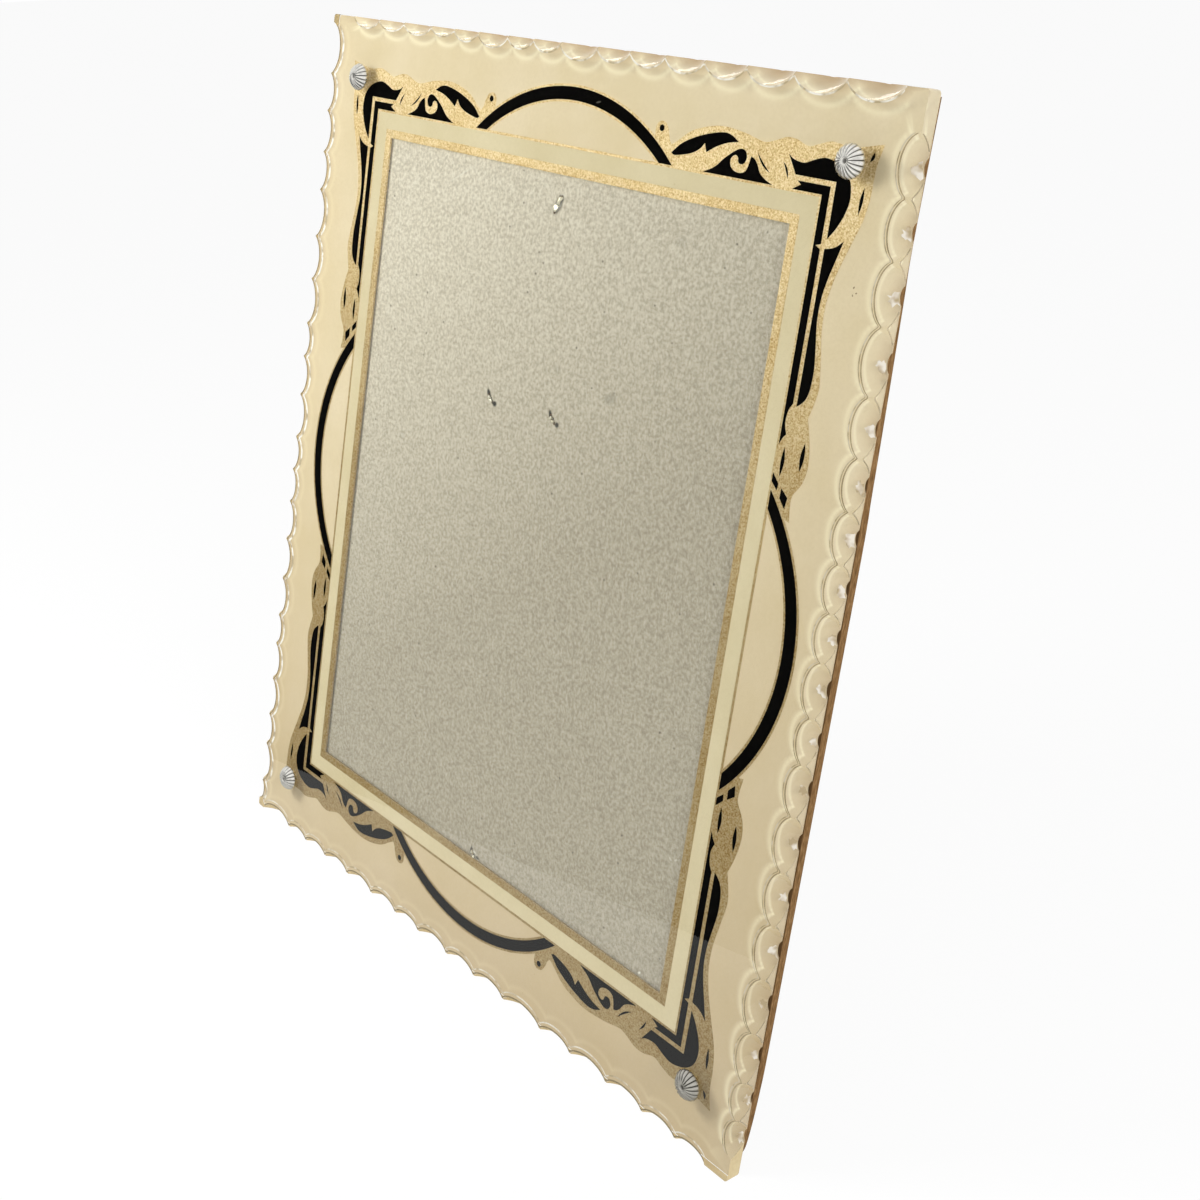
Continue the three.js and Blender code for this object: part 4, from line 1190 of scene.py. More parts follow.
def nick(edge, along, *size):
    """Where a flake nicks the back edge of the glass."""
    (length, _, inward), outside, _, back = flake_rule(*size)
    turns = [2 * math.pi * step / NICK_STEPS for step in range(NICK_STEPS)]
    return [on_panel(edge, along + length * back * math.cos(turn),
                     EDGES[edge][1] + outside + inward * back * math.sin(turn)) for turn in turns]


print(len(arc_dots()), "extra vertices for the thrown light")

# %% [markdown]
# ### Crushed lines and painted glints
# Along each flake's rim the real glass is crushed to a fine white line. How white a line is, edge by
# edge, is partly painted light: the top lines are white where light falls on them, and the inner
# pale lines at the left and the bottom are painted highlights where the flakes gather light. At the
# right edge a white star on each hollow is a painted glint. They are thin strips of their own, set
# just inside the glass, since a texture on the cut sheet would need its edges traced. For each edge
# in turn, a line has three numbers: how far in it lies from the flake's rim, how wide it is and how
# white.

# %% How far the hollows reach
def side_arc(edge, along):
    """How far back the flakes of an edge reach on its side face."""
    depth = np.zeros_like(along)
    for flake_edge, middle_at, *size in flakes():
        if flake_edge == edge:
            (length, deep, inward), outside, _, _ = flake_rule(*size)
            share = np.clip(1 - (outside / inward) ** 2 - ((along - middle_at) / length) ** 2, 0, 1)
            depth = np.maximum(depth, deep * np.sqrt(share) - SCOOP_AHEAD)
    return depth


def flake_depth(flake, along, back):
    """How far in from the edge of the panel a flake's hollow lies, at a place along it and a depth back."""
    _, middle_at, *size = flake
    (length, deep, inward), outside, _, _ = flake_rule(*size)
    share = 1 - ((SCOOP_AHEAD + back) / deep) ** 2 - ((along - middle_at) / length) ** 2
    return inward * math.sqrt(max(share, 0)) - outside


print(f"right flakes reach back {side_arc(1, np.linspace(-110, 110, 400)).max():.1f} mm at most")

# %% Painted glints
LINE_THICK = 0.03
GLINT_DEEP, GLINT_LONG, GLINT_WIDE, GLINT_POINTS, GLINT_SEED = 3.35, 1.45, 0.9, 17, 5
GLINT_SIZES, GLINT_REACHES, GLINT_WHITE, BACK_MARGIN = (0.65, 1.15), (0.5, 1.3), 0.7, 0.05


def strip(mesh, rings):
    """Adds a band to a mesh from its cross sections."""
    made = [[mesh.verts.new(corner) for corner in ring] for ring in rings]
    if len(made) > 1:
        grid_faces(mesh, made)


def painted_glints(mesh):
    """Painted glint: a white star lying on the hollow of each flake of one edge."""
    draw = np.random.default_rng(GLINT_SEED)
    for flake in flakes():
        edge, middle_at, *_ = flake
        if edge != SPOT_EDGE:
            continue
        size = draw.uniform(*GLINT_SIZES)
        layers = [[], []]
        for turn in np.linspace(0, 2 * math.pi, GLINT_POINTS, endpoint=False):
            reach = size * draw.uniform(*GLINT_REACHES)
            along = middle_at + SPOT_PAST_MIDDLE + GLINT_LONG * reach * math.cos(turn)
            back = min(GLINT_DEEP + GLINT_WIDE * reach * math.sin(turn), THICKNESS - BACK_MARGIN)
            inside = max(flake_depth(flake, along, back), 2 * LINE_THICK)
            for layer, lift in zip(layers, (LINE_THICK, -LINE_THICK)):
                x, z = on_panel(edge, along, EDGES[edge][1] - inside + lift)
                layer.append((x, back, z))
        strip(mesh, layers)


print("each bruise has", GLINT_POINTS, "points")

# %% Crushed lines where the flakes meet the flat faces
# line whiteness is partly painted light: white on the top edge, and the inner pale lines at the left and the
# bottom are painted highlights
LINES = {
    0: [(0.0, 0.4, 0.8)],
    1: [(0.0, 0.32, 0.2), (0.6, 0.3, 0.45)],
    2: [(0.0, 0.42, 0.0), (1.2, 0.4, 0.7)],
    3: [(0.0, 0.45, 0.1), (1.3, 0.8, 1.0)],
}
LINE_STEP, LINE_DEEP = 0.45, 0.04
SIDE_LINE_EDGE, SIDE_LINE, SIDE_WHITE, SIDE_MARGIN = 1, 0.4, 0.25, 0.3


def crush_and_glint_lines(edges):
    """Mesh of the lines along some edges, and the whiteness of each of its vertices."""
    mesh = bmesh.new()
    whiteness = []
    for edge in edges:
        distance = EDGES[edge][1]
        along = np.arange(RIDGES[edge][0], RIDGES[edge][-1], LINE_STEP)
        arcs, backs = front_arc(edge, along), side_arc(edge, along)
        for off, wide, white in LINES[edge]:
            rings = []
            for place, arc in zip(along, arcs):
                (x0, z0), (x1, z1) = (on_panel(edge, place, distance - arc - off - w) for w in (0, wide))
                rings.append([(x0, LINE_DEEP, z0), (x1, LINE_DEEP, z1),
                              (x1, LINE_DEEP + LINE_THICK, z1), (x0, LINE_DEEP + LINE_THICK, z0)])
            strip(mesh, rings)
            whiteness += [white] * 4 * len(rings)
        if edge != SIDE_LINE_EDGE:
            continue
        run = []
        for place, back in [*zip(along, backs), (0, THICKNESS)]:
            if back < THICKNESS - SIDE_MARGIN:
                outs = (distance - LINE_DEEP, distance - LINE_DEEP - LINE_THICK)
                (x0, z0), (x1, z1) = (on_panel(edge, place, out) for out in outs)
                run.append([(x0, back, z0), (x0, back + SIDE_LINE, z0),
                            (x1, back + SIDE_LINE, z1), (x1, back, z1)])
            elif run:
                strip(mesh, run)
                whiteness += [SIDE_WHITE] * 4 * len(run)
                run = []
        painted_glints(mesh)
        mesh.verts.ensure_lookup_table()
        whiteness += [GLINT_WHITE] * (len(mesh.verts) - len(whiteness))
    bmesh.ops.recalc_face_normals(mesh, faces=mesh.faces)
    return mesh, whiteness


for name, chosen, shades in (("flake_crush_and_glint_lines", (0, 1), True), ("rim_crush_and_glint_lines", (2, 3), False)):
    lines, whiteness = crush_and_glint_lines(chosen)
    made = dress(name, lines, PANEL, [crushed_glass_and_glints], "root")
    made.visible_shadow = shades
    made.data.attributes.new("whiteness", "FLOAT", "POINT").data.foreach_set("value", whiteness)

# %% [markdown]
# ### Cream film
# The cream was laid last and covers everything but the window. Between the liner and the thin gold
# line it is a little paler on the real sheet, so that band is a second outline with a finish of
# its own. Where a flake nicks the back edge the film was lost with the glass.

# %% Cream film
FILM_EDGE = 0.07


def cream_face(source, is_back):
    """The band between the window and the gold line is paler."""
    return 1 if 1 in source else 0


cream_shapes = [
    rectangle(HALF_WIDTH - FILM_EDGE, HALF_HEIGHT - FILM_EDGE, CORNER_RADIUS),
    rectangle(near_x, near_z),
]
cream_holes = [around_liner, *pin_holes]
cream_holes += [nick(*flake) for flake in flakes()]
film = flat_mesh(cream_shapes, cream_holes, cream_front, cream_front + FILM,
                 finish=cream_face, dots=arc_dots())
cream_film = dress("cream_lacquer_film", film, PANEL, [cream, pale_band], "root",
                   ["painted_mat"])
spots = np.array([corner.co for corner in cream_film.data.vertices]) / MM
for mark, values in zip(("gathered", "dimmed"), thrown_light(spots[:, 0], spots[:, 2])):
    cream_film.data.attributes.new(mark, "FLOAT", "POINT").data.foreach_set("value", values)
print(f"{len(spots)} vertices carry the thrown light")

# %% [markdown]
# ## Board and covering paper
# The real board was sawn by hand, so its right edge stands nearly flush with the glass half way
# down and further in at the ends, where the photograph shows a brown strip of changing width. A
# curve through a few points follows it. The split rivets come through in the window, so each has
# three small holes: one for the shank and one for the tip of each leg.

# %% Board
BOARD_INSET = 1.2
BORE, SHANK_BORE, LEG_BORE = 1.1, 0.5, 0.42
board_low, board_high = span("backboard", PANEL)
RIGHT_EDGE = [(96.5, board_low.z), (98.2, -116.5), (99.0, -112.0), (99.7, -100.0), (99.95, -80.0),
              (99.95, 20.0), (99.6, 40.0), (99.1, 60.0), (98.5, 80.0), (98.2, 90.0), (98.4, board_high.z)]
# turn of the legs in degrees, how far they reach, and how far right and up their middle is
RIVETS = {
    "hanger_rivet": (63, 2.2, -0.6, -0.5), "hinge_rivet_left": (-48, 1.0, -0.9, -0.9),
    "hinge_rivet_right": (-48, 1.0, -0.8, -0.3), "ribbon_board_rivet": (-52, 1.3, 0.3, -0.2),
}


def leg_ends(node):
    """Where the two legs of a split rivet dig into the board, on X and Z."""
    turn, reach, right, up = RIVETS[node]
    at = middle(node, PANEL)
    turn = math.radians(turn)
    return [(at.x + right + sign * reach * math.cos(turn), at.z + up + sign * reach * math.sin(turn))
            for sign in (1, -1)]


left = -(HALF_WIDTH - BOARD_INSET)
board_outline = [(left, board_low.z), *curve_through(RIGHT_EDGE), RIGHT_EDGE[-1], (left, board_high.z)]
board_holes = [circle(pin.x, pin.z, BORE) for pin in pins.values()]
for node, (_, _, right, up) in RIVETS.items():
    at = middle(node, PANEL)
    board_holes.append(circle(at.x + right, at.z + up, SHANK_BORE, 16))
    board_holes += [circle(x, z, LEG_BORE, 12) for x, z in leg_ends(node)]
board = flat_mesh([board_outline], board_holes, board_low.y, board_high.y, rim_finish=1)
dress("grey_backboard", board, PANEL, [chipboard, sawn_edge], "root", ["backboard"], bevel=0.12)

# %% Covering paper
PAPER_INSIDE = 2.1
paper_low, paper_high = span("back_paper", PANEL)
paper_side = [(x - PAPER_INSIDE, z) for x, z in curve_through(RIGHT_EDGE) if paper_low.z < z < paper_high.z]
paper_outline = [(-paper_high.x, paper_low.z), (paper_side[0][0], paper_low.z), *paper_side,
                 (paper_side[-1][0], paper_high.z), (-paper_high.x, paper_high.z)]
paper = flat_mesh([paper_outline], board_holes[:len(pins)], paper_low.y, paper_high.y)
dress("embossed_back_paper", paper, PANEL, [back_paper], "root", ["back_paper"], bevel=0.15)

# %% [markdown]
# ## Rosettes, split pins and washers
# Each rosette is a small stamped cap: petals that swell between sharp creases, running out from a
# dimple to a scalloped rim. Its pin splits behind the board into two legs, bent out flat over a
# washer. Caps are turned from a profile, with the petals put in by a formula, and the depth of a
# crease is stored in the vertices for the grime and painted shade in it.

# %% Rosette caps
PETALS, STEPS_IN_PETAL, PETAL_FULL = 18, 8, 0.4
CREASE_DEPTH = 0.34
RIM_SCALLOP = 0.055
DIMPLE, DIMPLE_GRIME_AND_SHADE = 0.12, 0.8


def petal(turn):
    """1 on the crest of a petal and 0 in the crease beside it."""
    return abs(math.cos(PETALS * turn / 2)) ** PETAL_FULL


def rosette_mesh(cap_low, cap_high):
    """Cap and its radius. Its underside stays plain."""
    radius = (cap_high.x - cap_low.x) / 2
    top, bottom = cap_low.y, cap_high.y
    rise = bottom - top
    dome = [(0.06, 0.28), (0.1, 0.25), (0.17, 0.08), (0.24, 0.0), (0.34, 0.01), (0.46, 0.05), (0.6, 0.15),
            (0.74, 0.31), (0.86, 0.51), (0.95, 0.73), (1.0, 0.9), (0.995, 1.0)]
    profile = [(share * radius, top + drop * rise) for share, drop in dome]
    profile += [(0.6 * radius, bottom), (0.42 * radius, bottom), (0.4 * radius, top + 0.5 * rise)]

    def fluted(r, y, turn):
        share = r / radius
        if y >= bottom and share < 0.9 or y == profile[-1][1] and share < 0.41:
            return r, y
        depth = CREASE_DEPTH * min(1, max(0, (share - DIMPLE) / 0.3))
        low = 1 - petal(turn)
        return r * (1 - RIM_SCALLOP * low * share), min(y + depth * low, bottom)

    return turned_mesh(profile, PETALS * STEPS_IN_PETAL, fluted), radius


for name, pin in pins.items():
    cap_low, cap_high = span("rosette_cap_" + name, PANEL)
    mesh, radius = rosette_mesh(cap_low, cap_high)
    made = dress("fluted_rosette_" + name, mesh, PANEL, [plating], "root",
                 ["rosette_cap_" + name], at=Vector((pin.x, 0, pin.z)), sharp=55, upright=True)
    # the crease share gives grime and painted shade in the creases and the dimple
    creases = made.data.attributes.new("crease", "FLOAT", "POINT")
    for vertex, value in zip(made.data.vertices, creases.data):
        here = PANEL.inverted() @ vertex.co / MM
        out = Vector((here.x - pin.x, here.z - pin.z))
        share = out.length / radius
        low = 1 - petal(math.atan2(out.y, out.x))
        dimple_grime_and_shade = DIMPLE_GRIME_AND_SHADE if share < DIMPLE else 0
        value.value = min(1.0, low * min(1, max(0, share - 0.1) * 3) + dimple_grime_and_shade)

# %% Split pins and washers
def half_round(half_width, thickness, taper=0.0):
    """Section of a wire rolled flat on one side, narrowing along its way."""
    def section(share):
        w = half_width * (1 - taper * share ** 3)
        turns = [math.pi * step / ROUND_STEPS for step in range(ROUND_STEPS + 1)]
        return [(w * math.cos(t), thickness * (math.sin(t) - 0.35)) for t in turns]
    return section


def round_wire(radius, steps=12):
    """Section of a round wire, the same all along it."""
    return lambda share: circle(0, 0, radius, steps)


def pin_mesh(pin_low, pin_high, head_back):
    """Head in the cap, two half-round legs down the hole and bent out flat behind the washer."""
    reach = (pin_high.x - pin_low.x) / 2
    back = pin_high.y
    front = pin_low.y
    head = turned_mesh([(0.3, front), (1.0, front + 0.1), (1.3, front + 0.3), (1.25, head_back)], 24)
    legs = []
    for sign in (1, -1):
        path = [(0.28, head_back), (0.3, back - 1.6), (0.45, back - 0.9), (0.9, back - 0.42),
                (1.7, back - 0.3), (3.2, back - 0.34), (4.8, back - 0.28), (reach - 0.2, back - 0.3)]
        line = curve_through([(sign * x, y, 0) for x, y in path], 4) + [(sign * path[-1][0], path[-1][1], 0)]
        legs.append(swept_mesh(line, half_round(0.7, 0.3, 0.55), Vector((0, 0, 1))))
    return joined(head, *legs)


for name, pin in pins.items():
    pin_low, pin_high = span("rosette_pin_" + name, PANEL)
    mesh = pin_mesh(pin_low, pin_high, span("rosette_cap_" + name, PANEL)[1].y)
    dress("split_pin_" + name, mesh, PANEL, [brass], "root", ["rosette_pin_" + name],
          at=Vector((pin.x, 0, pin.z)))
    flat_low, flat_high = span("pin_washer_" + name, PANEL)
    radius = (flat_high.x - flat_low.x) / 2
    front, back = flat_low.y, flat_high.y
    ring = [(BORE, front + 0.1), (BORE + 0.1, front), (radius - 0.1, front), (radius, front + 0.12),
            (radius, back - 0.18), (radius - 0.18, back), (BORE + 0.2, back), (BORE, back - 0.15),
            (BORE, front + 0.1)]
    washer = turned_mesh(ring, 36)
    bmesh.ops.delete(washer, geom=[f for f in washer.faces if len(f.verts) > 4], context="FACES_ONLY")
    bmesh.ops.remove_doubles(washer, verts=washer.verts, dist=1e-4)
    dress("tinned_washer_" + name, washer, PANEL, [steel], "root", ["pin_washer_" + name],
          at=Vector((pin.x, 0, pin.z)))

# %% [markdown]
# ## Rivets
# The rivets through the board are split rivets: a domed head behind, and two legs that pierce the
# board and curl back into it. In the window each shows as two bright strokes that end in dark
# pits, at the slant and place that the photograph shows, which is up to about 1.3 mm from the
# middle of the CAD's round rivet. Each leg is a half-round section swept along its curl. The
# rivets in the strut have a plain shank.

# %% Split rivets through the board
HEAD_RISE = 0.5
LEG_THICK, LEG_TAPER, LEG_ROOT = 0.3, 0.4, 0.22
LEG_WIDE = {
    "hanger_rivet": 0.65, "hinge_rivet_left": 0.45, "hinge_rivet_right": 0.45, "ribbon_board_rivet": 0.4,
}


def rivet_head(radius, front, back):
    """Dome behind the front depth."""
    rise = back - front
    profile = [(radius - 0.12, front), (radius, front + 0.2 * rise), (0.86 * radius, front + 0.62 * rise),
               (0.5 * radius, back - 0.05 * rise), (0.05, back)]
    return turned_mesh(profile, 28)


def split_rivet_mesh(node):
    """Head and two curled legs of a rivet, about the middle of the CAD's rivet, and where that is."""
    low, high = span(node, PANEL)
    at = (low + high) / 2
    turn, reach, right, up = RIVETS[node]
    turn = math.radians(turn)
    shells = [rivet_head((high.x - low.x) / 2, high.y - HEAD_RISE, high.y)]
    board_face = board_low.y
    path = [(LEG_ROOT, high.y - HEAD_RISE), (LEG_ROOT, board_face + 0.3), (0.3, board_face - 0.2),
            (0.45 * reach, board_face - 0.42), (0.8 * reach, board_face - 0.3), (reach, board_face + 0.25)]
    for sign in (1, -1):
        line = [(right + sign * math.cos(turn) * s, y, up + sign * math.sin(turn) * s) for s, y in path]
        line = curve_through(line, 4) + [line[-1]]
        side = Vector((-math.sin(turn), 0, math.cos(turn)))
        shells.append(swept_mesh(line, half_round(LEG_WIDE[node], LEG_THICK, LEG_TAPER), side))
    return joined(*shells), Vector((at.x, 0, at.z))


for node in RIVETS:
    mesh, at = split_rivet_mesh(node)
    dress("split_" + node, mesh, PANEL, [rubbed_brass], "root", [node], at=at)

# %% Plain rivets through the strut
SHANK = 0.8


def plain_rivet_mesh(low, high, head_in_front):
    """Head on one side of the strut and a straight shank through it."""
    if head_in_front:
        head = rivet_head((high.x - low.x) / 2, -low.y - HEAD_RISE, -low.y)
        head.transform(Matrix.Scale(-1, 4, (0, 1, 0)))
        bmesh.ops.reverse_faces(head, faces=head.faces)
    else:
        head = rivet_head((high.x - low.x) / 2, high.y - HEAD_RISE, high.y)
    ends = (low.y + 0.2, high.y) if head_in_front else (low.y, high.y - 0.2)
    body = turned_mesh([(SHANK - 0.15, ends[0]), (SHANK, ends[0] + 0.1), (SHANK, ends[1] - 0.1),
                        (SHANK - 0.15, ends[1])], 20)
    return joined(head, body)


for node in ("strut_rivet_left", "strut_rivet_right", "ribbon_strut_rivet"):
    low, high = span(node, STRUT)
    at = (low + high) / 2
    mesh = plain_rivet_mesh(low, high, node == "ribbon_strut_rivet")
    dress("domed_" + node, mesh, STRUT, [brass], "strut", [node], at=Vector((at.x, 0, at.z)))

# %% [markdown]
# ## Hinge
# Two leaves of tinned sheet, whose edges are rolled into knuckles round a steel pin: two knuckles
# on the leaf riveted to the board and one between them on the strut's leaf. A knuckle is a curl
# of the sheet, not a tube, so its section is drawn as a curl and carried along the pin.

# %% Curls and leaves
LEAF_CORNER = 1.2
CURL_DEGREES = range(0, 301, 15)


def curl_mesh(start, end, outer, inner, up, plate_end):
    """Sheet that comes down flat and rolls round a pin along X; up is the way the leaf points."""
    points = []
    turns = [math.radians(degrees) for degrees in CURL_DEGREES]
    side = -1 if up > 0 else 1
    for radius, order in ((outer, turns), (inner, turns[::-1])):
        edge = [(side * radius * math.cos(t), -up * radius * math.sin(t)) for t in order]
        tail = (side * radius, up * plate_end)
        points += [tail, *edge] if radius == outer else [*edge, tail]
    mesh = bmesh.new()
    rings = [[mesh.verts.new((x, y, z)) for y, z in points] for x in (start, end)]
    grid_faces(mesh, rings)
    bmesh.ops.recalc_face_normals(mesh, faces=mesh.faces)
    return mesh


def leaf_mesh(low, high, up, knuckles, outer, inner, holes):
    """Flat part of a leaf with round corners, and its knuckles."""
    neck = outer + 0.3
    far = high.z if up > 0 else -low.z
    shape = rectangle((high.x - low.x) / 2, (far - neck) / 2, LEAF_CORNER)
    lift = up * (far + neck) / 2
    plate_front = -outer if up > 0 else inner
    plate = flat_mesh([[(x, z + lift) for x, z in shape]], holes, plate_front, plate_front + outer - inner)
    return joined(plate, *(curl_mesh(a, b, outer, inner, up, neck + 0.2) for a, b in knuckles))


print("a curl turns through", CURL_DEGREES[-1], "degrees")

# %% Hinge leaves
KNUCKLE_OUTER, KNUCKLE_INNER = 1.5, 0.9
HALF_KNUCKLE, KNUCKLE_GAP = 7.0, 0.3
fixed_low, fixed_high = span("hinge_fixed_leaf", HINGE)
moving_low, moving_high = span("hinge_moving_leaf", STRUT)
rivet_x = abs(middle("hinge_rivet_left", HINGE).x)
rivet_z = middle("hinge_rivet_left", HINGE).z
half_hinge = fixed_high.x
outer_knuckles = [(-half_hinge, -HALF_KNUCKLE - KNUCKLE_GAP), (HALF_KNUCKLE + KNUCKLE_GAP, half_hinge)]
fixed = leaf_mesh(fixed_low, fixed_high, 1, outer_knuckles, KNUCKLE_OUTER, KNUCKLE_INNER,
                  [circle(sign * rivet_x, rivet_z, BORE, 20) for sign in (-1, 1)])
dress("rolled_fixed_leaf", fixed, HINGE, [steel], "root", ["hinge_fixed_leaf"], bevel=0.08)
strut_bores = [circle(sign * rivet_x, -rivet_z, BORE, 20) for sign in (-1, 1)]
moving = leaf_mesh(moving_low, moving_high, -1, [(-HALF_KNUCKLE, HALF_KNUCKLE)], KNUCKLE_OUTER, KNUCKLE_INNER,
                   strut_bores)
dress("rolled_moving_leaf", moving, STRUT, [steel], "strut", ["hinge_moving_leaf"], bevel=0.08)

# %% Hinge pin
pin_radius = span("hinge_pin", HINGE)[1].y
wire = turned_mesh([(pin_radius - 0.15, -half_hinge), (pin_radius, -half_hinge + 0.15),
                    (pin_radius, half_hinge - 0.15), (pin_radius - 0.15, half_hinge)], 20)
wire.transform(Matrix.Rotation(math.pi / 2, 4, "Z"))
dress("hinge_pin_wire", wire, HINGE, [steel], "root", ["hinge_pin"])

# %% [markdown]
# ## Strut
# The strut is a tapered board covered in the same paper as the back, with round corners at the top
# and a foot cut so that it stands flat. It is one flat mesh, whose lowest vertices are then slid
# along the strut until they lie on the table.

# %% Strut
STRUT_TOP, STRUT_FOOT, STRUT_CORNER, CORNER_STEPS = 38.0, 60.0, 3, 6
FOOT_WITHIN = 0.01
strut_low, strut_high = span("easel_strut", STRUT)


def strut_mesh():
    foot, top = strut_low.z, strut_high.z
    shape = [(-STRUT_FOOT / 2, foot), (STRUT_FOOT / 2, foot)]
    for step in range(CORNER_STEPS + 1):
        turn = math.pi / 2 * (1 - step / CORNER_STEPS)
        shape.append((STRUT_TOP / 2 - STRUT_CORNER + STRUT_CORNER * math.sin(turn),
                      top - STRUT_CORNER + STRUT_CORNER * math.cos(turn)))
    shape += [(-x, z) for x, z in shape[:1:-1]]
    ribbon_rivet = middle("ribbon_strut_rivet", STRUT)
    holes = [*strut_bores, circle(ribbon_rivet.x, ribbon_rivet.z, BORE, 20)]
    mesh = flat_mesh([shape], holes, strut_low.y, strut_high.y)
    for vertex in mesh.verts:
        if vertex.co.z < foot + FOOT_WITHIN:
            here = STRUT @ (vertex.co * MM)
            vertex.co.z -= here.z / MM / STRUT.col[2].z
    return mesh


dress("paper_covered_strut", strut_mesh(), STRUT, [strut_paper], "strut", ["easel_strut"],
      bevel=0.3, upright=True)

# %% [markdown]
# ## Stay ribbon
# A cotton tape stops the strut from sliding out: riveted flat to the board at one end and to the
# strut at the other, and drawn tight between them. Cloth under tension lies straight, so no
# simulation is needed: a thin section with rounded selvedges is swept along three straight runs.
# Its length is measured along that line.

# %% Way of the ribbon
TAPE_WIDTH, TAPE_THICK, TAB, SEAT = 10.0, 0.5, 11.0, 0.3
BEND = 1.6
board_rivet = middle("ribbon_board_rivet", PANEL)
strut_rivet = middle("ribbon_strut_rivet", STRUT)
on_board = paper_high.y + SEAT + TAPE_THICK / 2
on_strut = strut_low.y - SEAT - TAPE_THICK / 2
stops = [
    PANEL @ (Vector((board_rivet.x, on_board, board_rivet.z - TAB / 2)) * MM),
    PANEL @ (Vector((board_rivet.x, on_board, board_rivet.z + TAB / 2)) * MM),
    STRUT @ (Vector((strut_rivet.x, on_strut, strut_rivet.z + TAB / 2)) * MM),
    STRUT @ (Vector((strut_rivet.x, on_strut, strut_rivet.z - TAB / 2)) * MM),
]
stops = [point / MM for point in stops]


def ribbon_line():
    """Straight runs with small round bends, a point every millimetre or so."""
    line = []
    for index, point in enumerate(stops):
        if index in (0, len(stops) - 1):
            line.append(point)
            continue
        before = point + (stops[index - 1] - point).normalized() * BEND
        after = point + (stops[index + 1] - point).normalized() * BEND
        previous = line[-1]
        steps = max(2, round((before - previous).length))
        line += [previous.lerp(before, s / steps) for s in range(1, steps)]
        for t in (0, 0.25, 0.5, 0.75, 1):
            line.append((1 - t) ** 2 * before + 2 * t * (1 - t) * point + t ** 2 * after)
    last = line.pop()
    steps = round((last - line[-1]).length)
    line += [line[-1].lerp(last, s / steps) for s in range(1, steps + 1)]
    return line


line = ribbon_line()
print(len(line), "points along the ribbon")

# %% Tape
ACROSS_STEPS, SELVEDGE = 6, 0.6


def ribbon_section(share):
    """Section across the tape, thinner at its two selvedges."""
    half, thin = TAPE_WIDTH / 2, TAPE_THICK / 2
    shares = [step / ACROSS_STEPS for step in range(-ACROSS_STEPS, ACROSS_STEPS + 1)]
    top = [(half * part, thin * (1 - abs(part) ** 8 * SELVEDGE)) for part in shares]
    return top + [(x, -y) for x, y in reversed(top)]


mesh = swept_mesh(line, ribbon_section)
ribbon = dress("cotton_stay_ribbon", mesh, Matrix.Identity(4), [tape], "root", ["stay_ribbon"])
lengths = np.concatenate([[0], np.cumsum([(b - a).length for a, b in zip(line, line[1:])])])
tape_map = ribbon.data.uv_layers.new(name="tape in millimetres")
columns = len(ribbon_section(0))
for loop in ribbon.data.loops:
    row, column = divmod(loop.vertex_index, columns)
    tape_map.data[loop.index].uv = (ribbon.data.vertices[loop.vertex_index].co.x / MM, lengths[row])
print(f"ribbon {TAPE_WIDTH:.0f} x {lengths[-1]:.1f} mm")
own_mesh(ribbon)

# %% [markdown]
# ## Hanger
# A riveted brass clip, its end rolled round a wire ring that hangs behind the top of the board. The
# clip is a flat plate and the same curl as a hinge knuckle. The ring is wire bent round until its
# ends nearly meet, so it is swept along a circle with a small gap.

# %% Hanger clip
clip_low, clip_high = span("hanger_clip", PANEL)
clip_middle = (clip_low + clip_high) / 2
EYE_SHEET, HALF_EYE, CLIP_CORNER = 0.6, 2.5, 1.4
eye_outer = (clip_high.y - clip_low.y) / 2
eye_inner = eye_outer - EYE_SHEET
eye_z = clip_high.z - eye_outer
CLIP_PLACE = PANEL @ Matrix.Translation(Vector((clip_middle.x, clip_middle.y, eye_z)) * MM)
clip_low, clip_high = span("hanger_clip", CLIP_PLACE)
half_clip = clip_high.x
hole_z = middle("hanger_rivet", CLIP_PLACE).z


def clip_mesh():
    """Plate with round corners and a rivet hole, and the eye rolled from its upper end."""
    far = -clip_low.z
    neck = eye_outer + 0.2
    shape = [(x, z - (far + neck) / 2) for x, z in rectangle(half_clip, (far - neck) / 2, CLIP_CORNER)]
    plate = flat_mesh([shape], [circle(0, hole_z, BORE, 20)], -eye_outer, -eye_inner)
    eye = curl_mesh(-HALF_EYE, HALF_EYE, eye_outer, eye_inner, -1, neck + 0.3)
    eye.transform(Matrix.Scale(-1, 4, (0, 1, 0)))
    bmesh.ops.recalc_face_normals(eye, faces=eye.faces)
    return joined(plate, eye)


dress("rolled_hanger_clip", clip_mesh(), CLIP_PLACE, [brass], "root", ["hanger_clip"], bevel=0.08)

# %% Hanger ring
ring_low, ring_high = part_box("hanger_ring")
ring_middle = (ring_low + ring_high) / 2
wire_radius = (ring_high.y - ring_low.y) / 2 / MM
ring_radius = (ring_high.x - ring_low.x) / 2 / MM - wire_radius
BUTT_GAP, RING_STEPS = 0.02, 72
turns = [math.pi * (-0.5 + BUTT_GAP / 2) + (2 * math.pi - BUTT_GAP) * step / RING_STEPS
         for step in range(RING_STEPS + 1)]
ring_line = [(ring_radius * math.cos(t), 0, ring_radius * math.sin(t)) for t in turns]
ring = swept_mesh(ring_line, round_wire(wire_radius), Vector((0, 1, 0)))
dress("wire_hanger_ring", ring, Matrix.Translation(ring_middle), [brass], "ring", ["hanger_ring"])

# %% [markdown]
# ## Floor
# A plain white table stands under the frame. Most of its white is given only to the camera and to
# rays that glass and metal send on, so that the picture is white and the frame isn't lit by more
# light than it should be. The rest of it is dull paint, which keeps the frame's shadow.

# %% Floor
FLOOR, TOOTH_MM = 3.0, 4
WHITE_STRENGTH, WHITE_SHARE = 1.03, 0.9


